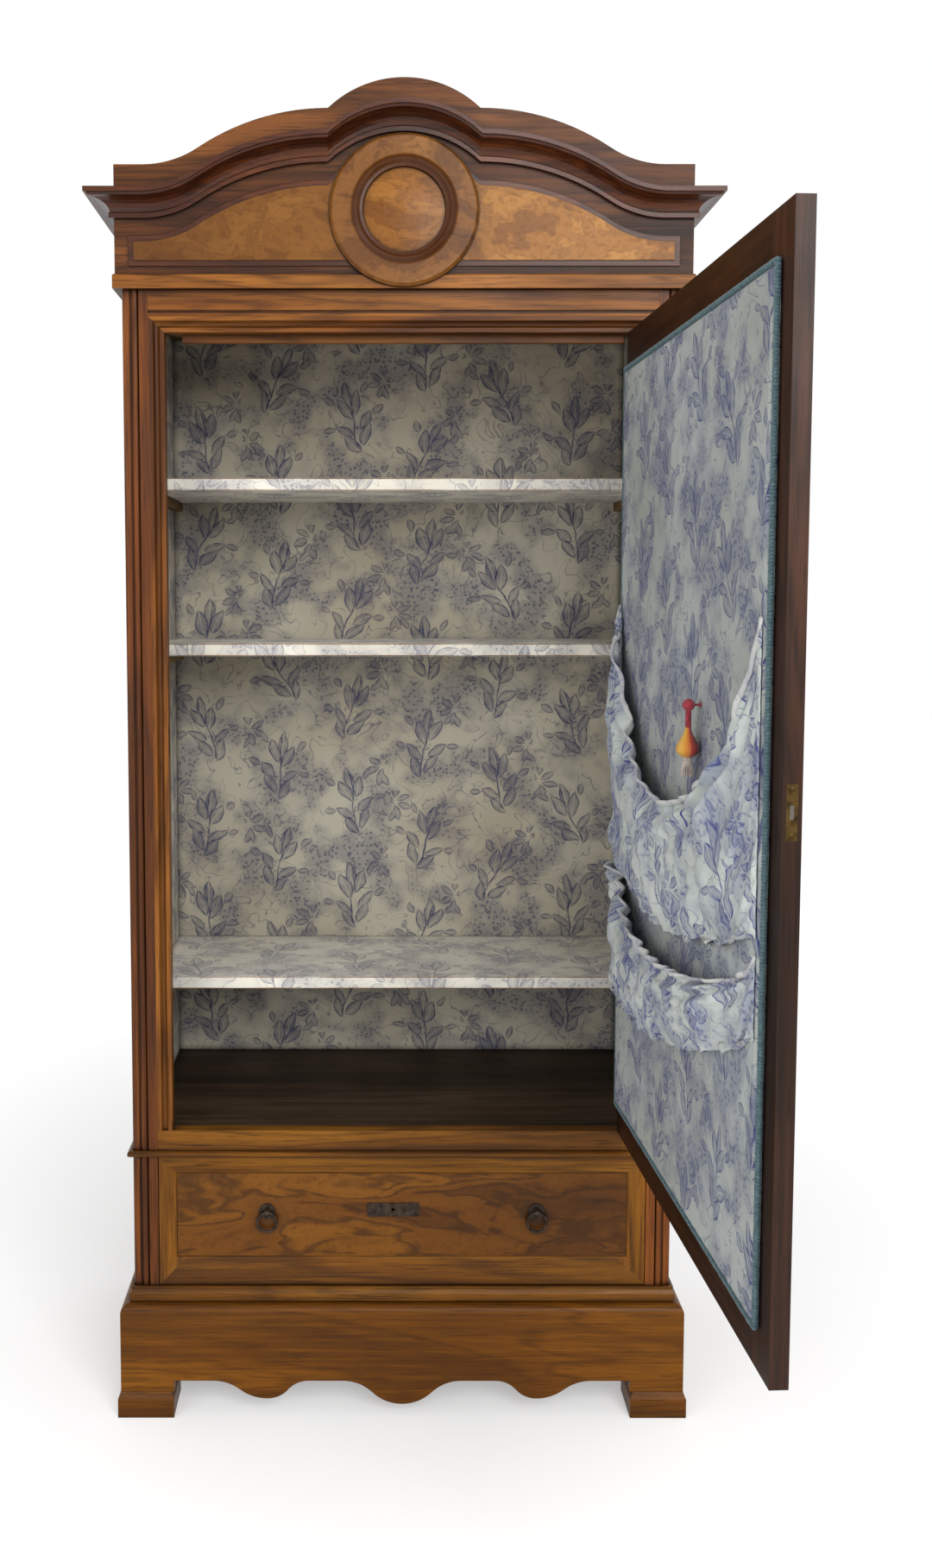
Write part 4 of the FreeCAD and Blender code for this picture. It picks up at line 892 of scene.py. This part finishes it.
def makePocket(node):
    look = pocketLook[node]
    columns, rows = pocket["columns"], pocket["rows"]
    shares = gridShares(rows, columns)
    points, uvs = [], []
    for u, v in shares:
        s, n, z = pocketPoint(look, u, v)
        points.append(onDoor(s, n, z))
        uvs.append((s * pocket["printFullness"] + look["seed"] * 0.11, z))
    piece = meshObject(look["name"], points, gridFaces(rows, columns), finish["pocketToile"], uvs)
    settleCloth(piece, set(range(columns))
                | {i * columns + end for i in range(rows) for end in (0, columns - 1)})
    vertices = piece.data.vertices
    outward = doorWay(0, 1)
    for vertex, (u, v) in zip(vertices, shares):
        free = min(1.0, u / 0.06, (1 - u) / 0.06, v / 0.10)
        pucker = 0.0042 * wave(u * 17, v * 8, look["seed"] + 9)
        pucker += 0.0026 * wave(u * 31, v * 17, look["seed"] + 3)
        vertex.co += outward * max(0.0, free) * pucker

    def rowOf(i):
        return [vertices[i * columns + j].co.copy() for j in range(columns)]
    look["seam"] = [place + outward * pocket["seamLift"]
                    for place in rowOf(pocket["seamRow"])[2:-2]]
    lip, under = rowOf(rows - 1), rowOf(rows - 3)
    thicken(piece, pocket["wall"], -1.0)
    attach(piece, "door")
    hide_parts(node)
    hem = makeHem(look, lip, under, [across for across, _ in uvs[-columns:]])


for node in ("pocket_lower", "pocket_upper"):
    makePocket(node)
print("pockets gathered")


# Geometry Nodes: one small form set along points or a path, then made a plain mesh
def repeatTree(name, form, material, spacing):
    tree = bpy.data.node_groups.new(name, "GeometryNodeTree")
    newSocket = tree.interface.new_socket
    newSocket("Geometry", in_out="INPUT", socket_type="NodeSocketGeometry")
    keys = {word: newSocket(word, in_out="INPUT", socket_type="NodeSocketFloat").identifier
            for word in ("Spacing", "Vary")}
    newSocket("Geometry", in_out="OUTPUT", socket_type="NodeSocketGeometry")
    given = addNode(tree, "NodeGroupInput").outputs
    spots, step, vary = [Field(tree, given[word]) for word in ("Geometry", "Spacing", "Vary")]
    if spacing is None:
        axis = "Z"
        facing = fieldOf(tree, "GeometryNodeInputNamedAttribute", 0, {"Name": "facing"},
                         data_type="FLOAT_VECTOR")
    else:
        axis = "X"
        path = fieldOf(tree, "GeometryNodeMeshToCurve", 0, {0: spots})
        spots = fieldOf(tree, "GeometryNodeResampleCurve", 0, {"Curve": path, "Length": step},
                        mode="LENGTH")
        facing = fieldOf(tree, "GeometryNodeInputTangent")
    turn = fieldOf(tree, "FunctionNodeAlignRotationToVector", 0, {"Vector": facing}, axis=axis)
    size = fieldOf(tree, "FunctionNodeRandomValue", 1, {2: vary.rest(), 3: 1.0, "Seed": 11},
                   data_type="FLOAT")
    each = fieldOf(tree, "GeometryNodeObjectInfo", "Geometry", {"Object": form})
    placed = fieldOf(tree, "GeometryNodeInstanceOnPoints", 0,
                     {"Points": spots, "Instance": each, "Rotation": turn, "Scale": size})
    realized = fieldOf(tree, "GeometryNodeRealizeInstances", 0, {0: placed})
    dressed = fieldOf(tree, "GeometryNodeSetMaterial", 0, {0: realized, "Material": material})
    addNode(tree, "NodeGroupOutput", {0: dressed})
    return tree, keys


def repeatForm(name, carrier, form, look, body, spacing=None, vary=0.0):
    # carrier: a mesh of points (with a facing attribute) or of edges to follow
    tree, keys = repeatTree(name + "_tree", form, finish[look], spacing)
    modifier = carrier.modifiers.new("Repeat", "NODES")
    modifier.node_group = tree
    modifier[keys["Spacing"]] = float(spacing or 0.01)
    modifier[keys["Vary"]] = float(vary)
    bpy.context.view_layer.update()
    evaluated = carrier.evaluated_get(bpy.context.evaluated_depsgraph_get())
    mesh = bpy.data.meshes.new_from_object(evaluated)
    mesh.name = name
    carrier.modifiers.remove(modifier)
    bpy.data.objects.remove(carrier)
    bpy.data.objects.remove(form)
    if not mesh.materials:
        mesh.materials.append(finish[look])
    smooth(mesh)
    piece = addObject(name, mesh)
    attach(piece, body)
    print(name, "made,", len(mesh.polygons), "faces")


def pointCarrier(name, spots):
    # each spot is a place and the way it faces
    piece = plainMesh(name, [place for place, _ in spots], [], [])
    facing = piece.data.attributes.new("facing", "FLOAT_VECTOR", "POINT")
    for k, (_, direction) in enumerate(spots):
        facing.data[k].vector = Vector(direction).normalized()
    return piece


def pathCarrier(name, points, closed):
    count = len(points)
    edges = [(k, (k + 1) % count) for k in range(count if closed else count - 1)]
    return plainMesh(name, points, edges, [])


def lathe(name, outline, sides, groove=None):
    # outline of (radius, height) turned about Z; a groove (width, depth) cuts a driver's slot
    points = []
    for radius, height in outline:
        for k in range(sides):
            turn = 2 * math.pi * k / sides
            points.append((radius * math.cos(turn), radius * math.sin(turn), height))
    piece = plainMesh(name, points, [], tubeFaces(len(outline), sides))
    if groove:
        width, depth = groove
        shell = bmesh.new()
        shell.from_mesh(piece.data)
        for place in (-width / 2, width / 2):
            geometry = shell.faces[:] + shell.edges[:] + shell.verts[:]
            bmesh.ops.bisect_plane(shell, geom=geometry, plane_co=(0, place, 0), plane_no=(0, 1, 0))
        crown = max(v.co.z for v in shell.verts)
        cut = [f for f in shell.faces if abs(f.calc_center_median().y) < width / 2
               and f.normal.z > 0.5 and f.calc_center_median().z > crown * 0.5]
        made = bmesh.ops.extrude_face_region(shell, geom=cut)
        bmesh.ops.delete(shell, geom=cut, context="FACES_ONLY")
        for vertex in [g for g in made["geom"] if isinstance(g, bmesh.types.BMVert)]:
            vertex.co.z = crown - depth
        shell.normal_update()
        shell.to_mesh(piece.data)
        shell.free()
    return piece


def setStuds(name, spots, stud, look, body):
    # turned heads, one on each spot
    form = lathe(name + "_form", stud["outline"], stud["sides"], stud.get("groove"))
    repeatForm(name, pointCarrier(name + "_spots", spots), form, look, body,
               vary=stud.get("vary", 0.0))


def ovalForm(name, segments, rings, size, skew=0.0):
    # a sphere drawn out to three half sizes, long along X
    shell = bmesh.new()
    bmesh.ops.create_uvsphere(shell, u_segments=segments, v_segments=rings, radius=1.0)
    for vertex in shell.verts:
        x, y, z = vertex.co
        vertex.co = Vector((x * size[0] + y * skew, y * size[1], z * size[2]))
    mesh = bpy.data.meshes.new(name)
    shell.to_mesh(mesh)
    shell.free()
    return addObject(name, mesh)


# screws of the hinges, strike and faceplate
screw = {"outline": [(0.0033, -0.0002), (0.0033, 0.0001), (0.00264, 0.00045), (0.00132, 0.0007)],
         "sides": 18, "groove": (0.0009, 0.0006),
         # on a hinge leaf: rise from its middle and depth from its edge
         "onLeaf": ((-0.025, 0.007), (0.0, 0.013), (0.025, 0.007)), "frameLeaf": (0.4060, -0.470),
         "doorLeaf": (0.001, -0.034), "closer": 0.56, "aside": 0.0085,
         "strikeShares": (0.14, 0.86), "faceplate": (0.81378, -0.022),
         "faceplateHeights": (1.1845, 1.2395)}
frameScrews, doorScrews = [], []
for z in hinge["leafHeights"]:
    # staggered, so that the heads pass each other when the door shuts
    for rise, depth in screw["onLeaf"]:
        x, y = screw["frameLeaf"]
        frameScrews.append(((x, y + depth, z + rise), (-1, 0, 0)))
        s, n = screw["doorLeaf"]
        aside = 0.0 if rise else screw["aside"]
        doorScrews.append((onDoor(s, n + depth, z + rise * screw["closer"] + aside),
                           doorWay(-1, 0)))
low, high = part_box("door_strike")
for share in screw["strikeShares"]:
    frameScrews.append(((high[0], (low[1] + high[1]) / 2, low[2] + (high[2] - low[2]) * share),
                        (1, 0, 0)))
for z in screw["faceplateHeights"]:
    doorScrews.append((onDoor(*screw["faceplate"], z), doorWay(1, 0)))
setStuds("case_screws", frameScrews, screw, "brass", "case")
setStuds("door_screws", doorScrews, screw, "brass", "door")

# pins of the drawer plate
pin = {"outline": [(0.0018, -0.0002), (0.0018, 0.0003), (0.0013, 0.0008), (0.0006, 0.0011)],
       "sides": 14, "across": (-0.0575, 0.0255), "face": -0.4655, "heights": (0.3615, 0.3765)}
setStuds("plate_pins",
         [((x, pin["face"], z), (0, -1, 0)) for x in pin["across"] for z in pin["heights"]], pin,
         "iron", "drawer")

# pegs through the joints of the door and the side frames
peg = {"outline": [(0.0042, -0.0006), (0.0042, 0.0003), (0.00294, 0.0006), (0.00084, 0.00063)],
       "sides": 10, "vary": 0.1, "doorFace": -0.0340, "doorAcross": (0.0380, 0.7760),
       "doorHeights": (0.540, 0.574, 1.853, 1.887), "sideFace": 0.480,
       "sideAcross": (-0.388, -0.026), "sideHeights": (0.246, 0.286, 1.914, 1.954)}
doorPegs = [(onDoor(s, peg["doorFace"], z), doorWay(0, -1))
            for s in peg["doorAcross"] for z in peg["doorHeights"]]
casePegs = [((side * peg["sideFace"], y, z), (side, 0, 0))
            for side in (-1, 1) for y in peg["sideAcross"] for z in peg["sideHeights"]]
setStuds("door_pegs", doorPegs, peg, "sideFrame", "door")
setStuds("case_pegs", casePegs, peg, "sideFrame", "case")

# woven edging round the lining
edging = {"inset": -0.0012, "off": -0.0050, "spacing": 0.0044, "vary": 0.12, "steps": 24,
          "bead": (0.0032, 0.0052, 0.0044), "skew": 0.0016}


def edgingPath():
    inset, steps = edging["inset"], edging["steps"]
    a, b = pad["sFrom"] + inset, pad["sTo"] - inset
    low, high = pad["foot"] + inset, pad["head"] - inset
    corners = [(a, low), (b, low), (b, high), (a, high)]
    points = []
    for p, q in zip(corners, corners[1:] + corners[:1]):
        for i in range(steps):
            t = i / steps
            points.append(onDoor(p[0] + (q[0] - p[0]) * t, edging["off"], p[1] + (q[1] - p[1]) * t))
    return points


repeatForm("lining_gimp", pathCarrier("gimpPath", edgingPath(), True),
           ovalForm("gimpBead", 8, 5, edging["bead"], edging["skew"]), "gimp", "door",
           edging["spacing"], edging["vary"])

# running stitches along the pockets' feet
stitch = {"size": (0.0019, 0.0007, 0.0007), "spacing": 0.0062, "vary": 0.2}
for node in ("pocket_upper", "pocket_lower"):
    look = pocketLook[node]
    repeatForm(look["name"].replace("cloth", "stitches"),
               pathCarrier("seamPath", look["seam"], False),
               ovalForm("stitchForm", 6, 4, stitch["size"]), "fringeSilk", "door",
               stitch["spacing"], stitch["vary"])


# tassel on the lining: bead, neck, pear, fringe and stalk
tassel = {"s": 0.515, "n": 0.0178, "head": 1.323, "bead": 0.0085, "neck": 0.0044, "body": 0.0164,
          "bodyTop": 1.2840, "bodyFoot": 1.2420, "skirtFoot": 1.2140, "overlap": 0.001, "wound": 44,
          # radius and count of each ring of strands
          "fringe": ((0.0045, 18), (0.0026, 10)), "fringeLean": 0.17, "fringeTuck": 0.0012,
          "strand": 0.0011, "stalkFoot": 0.0012}
stalk = {"outline": [(0.0040, -0.0005), (0.0040, 0.0006), (0.0017, 0.0012), (0.0015, 0.0060),
                     (0.0024, 0.0105)],
         "sides": 22}


def makeTasselSilk():
    # yellow to dark red around the pear, in vertical wound threads
    material, tree, shader = newMaterial("TasselSilk")
    flat = clothMap(tree)
    around = flat.axes()[0]
    threads = around.sine(2 * math.pi * tassel["wound"])
    cloud = flat.mapped((30, 3, 1)).noise(1.0, 2.0)
    tone = (around + cloud * 0.10).ramp([
        (0.0, rgb(178, 52, 28)), (0.07, rgb(228, 124, 36)), (0.2, rgb(244, 190, 60)),
        (0.45, rgb(232, 140, 40)), (0.62, rgb(150, 30, 32)), (0.95, rgb(136, 22, 30)),
        (1.0, rgb(178, 52, 28))])
    setSockets(tree, shader, {
        "Base Color": layered(tree, tone, (threads.spread(-1.0, 0.2, 0.35, 0.0), rgb(90, 20, 20))),
        "Roughness": cloud.spread(0.3, 0.7, 0.38, 0.58), "Normal": threads.bump(0.5, 0.0006),
        "Sheen Weight": 0.25})
    return material


def turnedOnDoor(name, outline, look, sides, ribs=0, ribDepth=0.0):
    # outline of (radius, height); the axis stands off the lining
    points, uvs = [], []
    for i, (radius, z) in enumerate(outline):
        for k in range(sides + 1):
            turn = 2 * math.pi * k / sides
            r = radius * (1 + ribDepth * math.cos(ribs * turn))
            points.append(onDoor(tassel["s"] + r * math.cos(turn), tassel["n"] + r * math.sin(turn),
                                 z))
            uvs.append((k / sides, i / (len(outline) - 1)))
    piece = meshObject(name, points, gridFaces(len(outline), sides + 1), finish[look], uvs)
    faceOutward(piece, weld=0.00001)
    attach(piece, "door")
    return piece


def makeTassel():
    t = tassel
    finish["tasselSilk"] = makeTasselSilk()
    arcs = [math.pi * k / 14 for k in range(15)]
    middle = t["head"] - t["bead"]
    bead = [(max(0.0006, t["bead"] * math.sin(arc)), middle + t["bead"] * math.cos(arc))
            for arc in arcs]
    turnedOnDoor("tassel_bead", bead, "redSilk", 32, 16, 0.035)
    top, foot = t["head"] - 2 * t["bead"] + t["overlap"], t["bodyTop"] - t["overlap"]
    neck = [(t["neck"] * (0.86 + 0.16 * abs(math.sin(k * 1.35))), top + (foot - top) * k / 14)
            for k in range(15)]
    turnedOnDoor("tassel_neck", neck, "redSilk", 28)
    body = []
    for k in range(25):
        share = k / 24
        swell = math.sin(math.pi * share ** 2.1) ** 0.72 if 0 < share < 1 else 0.0
        body.append((t["neck"] * (0.9 - 0.1 * share) + (t["body"] - t["neck"]) * swell,
                     t["bodyTop"] + (t["bodyFoot"] - t["bodyTop"]) * share))
    pear = turnedOnDoor("tassel_pear", body, "tasselSilk", 2 * t["wound"], t["wound"], 0.018)
    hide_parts("tassel")
    spots = []
    for row, (radius, count) in enumerate(t["fringe"]):
        for k in range(count):
            turn = 2 * math.pi * (k + 0.5 * row) / count
            c, d = math.cos(turn), math.sin(turn)
            at = onDoor(t["s"] + radius * c, t["n"] + radius * d, t["bodyFoot"] + t["fringeTuck"])
            spots.append((at, doorWay(c, d) * t["fringeLean"] + Vector((0, 0, -1))))
    length = t["bodyFoot"] - t["skirtFoot"]
    strand = [(t["strand"] * (1 - 0.35 * k / 12) * (1 + 0.12 * math.sin(k * 2.6)), length * k / 12)
              for k in range(13)]
    setStuds("tassel_fringe", spots, {"outline": strand, "sides": 8, "vary": 0.12}, "fringeSilk",
             "door")
    setStuds("tassel_stalk", [(onDoor(t["s"], t["stalkFoot"], middle), doorWay(0, 1))], stalk,
             "redSilk", "door")


makeTassel()
print("tassel hung")


# stage: pale floor, soft light, the photograph's camera
# lift: the floor's glow near the cabinet and far off; the weaker glow near it is a painted shadow
stage = {"key": 116.0, "fill": 48.0, "world": 0.50, "floor": 0.80, "size": 14.0,
         "lift": (0.36, 0.66), "reach": (0.6, 2.4)}


def seenDirectly(tree):
    rays = addNode(tree, "ShaderNodeLightPath").outputs
    camera, glossy, through = [Field(tree, rays[f"Is {kind} Ray"])
                               for kind in ("Camera", "Glossy", "Transmission")]
    return camera.most(glossy, through)


def makeFloor():
    size = stage["size"]
    corners = [(-size, -size, 0), (size, -size, 0), (size, size, 0), (-size, size, 0)]
    floor = plainMesh("studio_floor", corners, [], [(0, 1, 2, 3)])
    material, tree, shader = newMaterial("StudioFloor")
    tree.nodes.remove(shader)
    matt = fieldOf(tree, "ShaderNodeBsdfDiffuse", 0, {"Color": [stage["floor"]] * 3 + [1.0]})
    lift = seenDirectly(tree)
    # weaker glow near the cabinet, a painted shadow round its foot; stronger far off, so the floor
    # meets the white
    lift *= coordinates(tree).vector("LENGTH").spread(*stage["reach"], *stage["lift"])
    glow = fieldOf(tree, "ShaderNodeEmission", 0, {"Color": (1, 1, 1, 1), "Strength": lift})
    both = fieldOf(tree, "ShaderNodeAddShader", 0, {0: matt, 1: glow})
    setSockets(tree, tree.nodes["Material Output"], {"Surface": both})
    floor.data.materials.append(material)


def makeWorld():
    world = bpy.data.worlds.new("Studio")
    bpy.context.scene.world = world
    world.use_nodes = True
    tree = world.node_tree
    strength = seenDirectly(tree).spread(0.0, 1.0, stage["world"], 1.0)
    setSockets(tree, tree.nodes["Background"], {"Color": (1, 1, 1, 1), "Strength": strength})


def addLamp(name, place, aim, side, power):
    lamp = bpy.data.lights.new(name, "AREA")
    lamp.shape = "RECTANGLE"
    lamp.size = lamp.size_y = side
    lamp.energy = power
    holder = addObject(name, lamp)
    holder.location = place
    holder.rotation_euler = (Vector(aim) - Vector(place)).to_track_quat("-Z", "Y").to_euler()


makeFloor()
makeWorld()
addLamp("KeySoftbox", (1.3, -4.2, 2.9), (0.0, -0.3, 1.1), 2.2, stage["key"])
addLamp("FillSoftbox", (-2.2, -3.6, 1.6), (0.1, -0.2, 1.1), 2.4, stage["fill"])
camera = bpy.data.cameras.new("PhotoCamera")
camera.sensor_fit = "VERTICAL"
camera.sensor_height = 36.0
camera.lens = 31.89
camera.shift_x = 0.0625
camera.shift_y = -0.0502
cameraHolder = addObject("PhotoCamera", camera)
cameraHolder.location = (-0.0582, -2.8748, 1.4565)
cameraHolder.rotation_euler = (math.radians(85.67), 0.0, math.radians(0.06))
bpy.context.scene.camera = cameraHolder
bpy.context.scene.view_settings.view_transform = "Standard"
print("stage set")
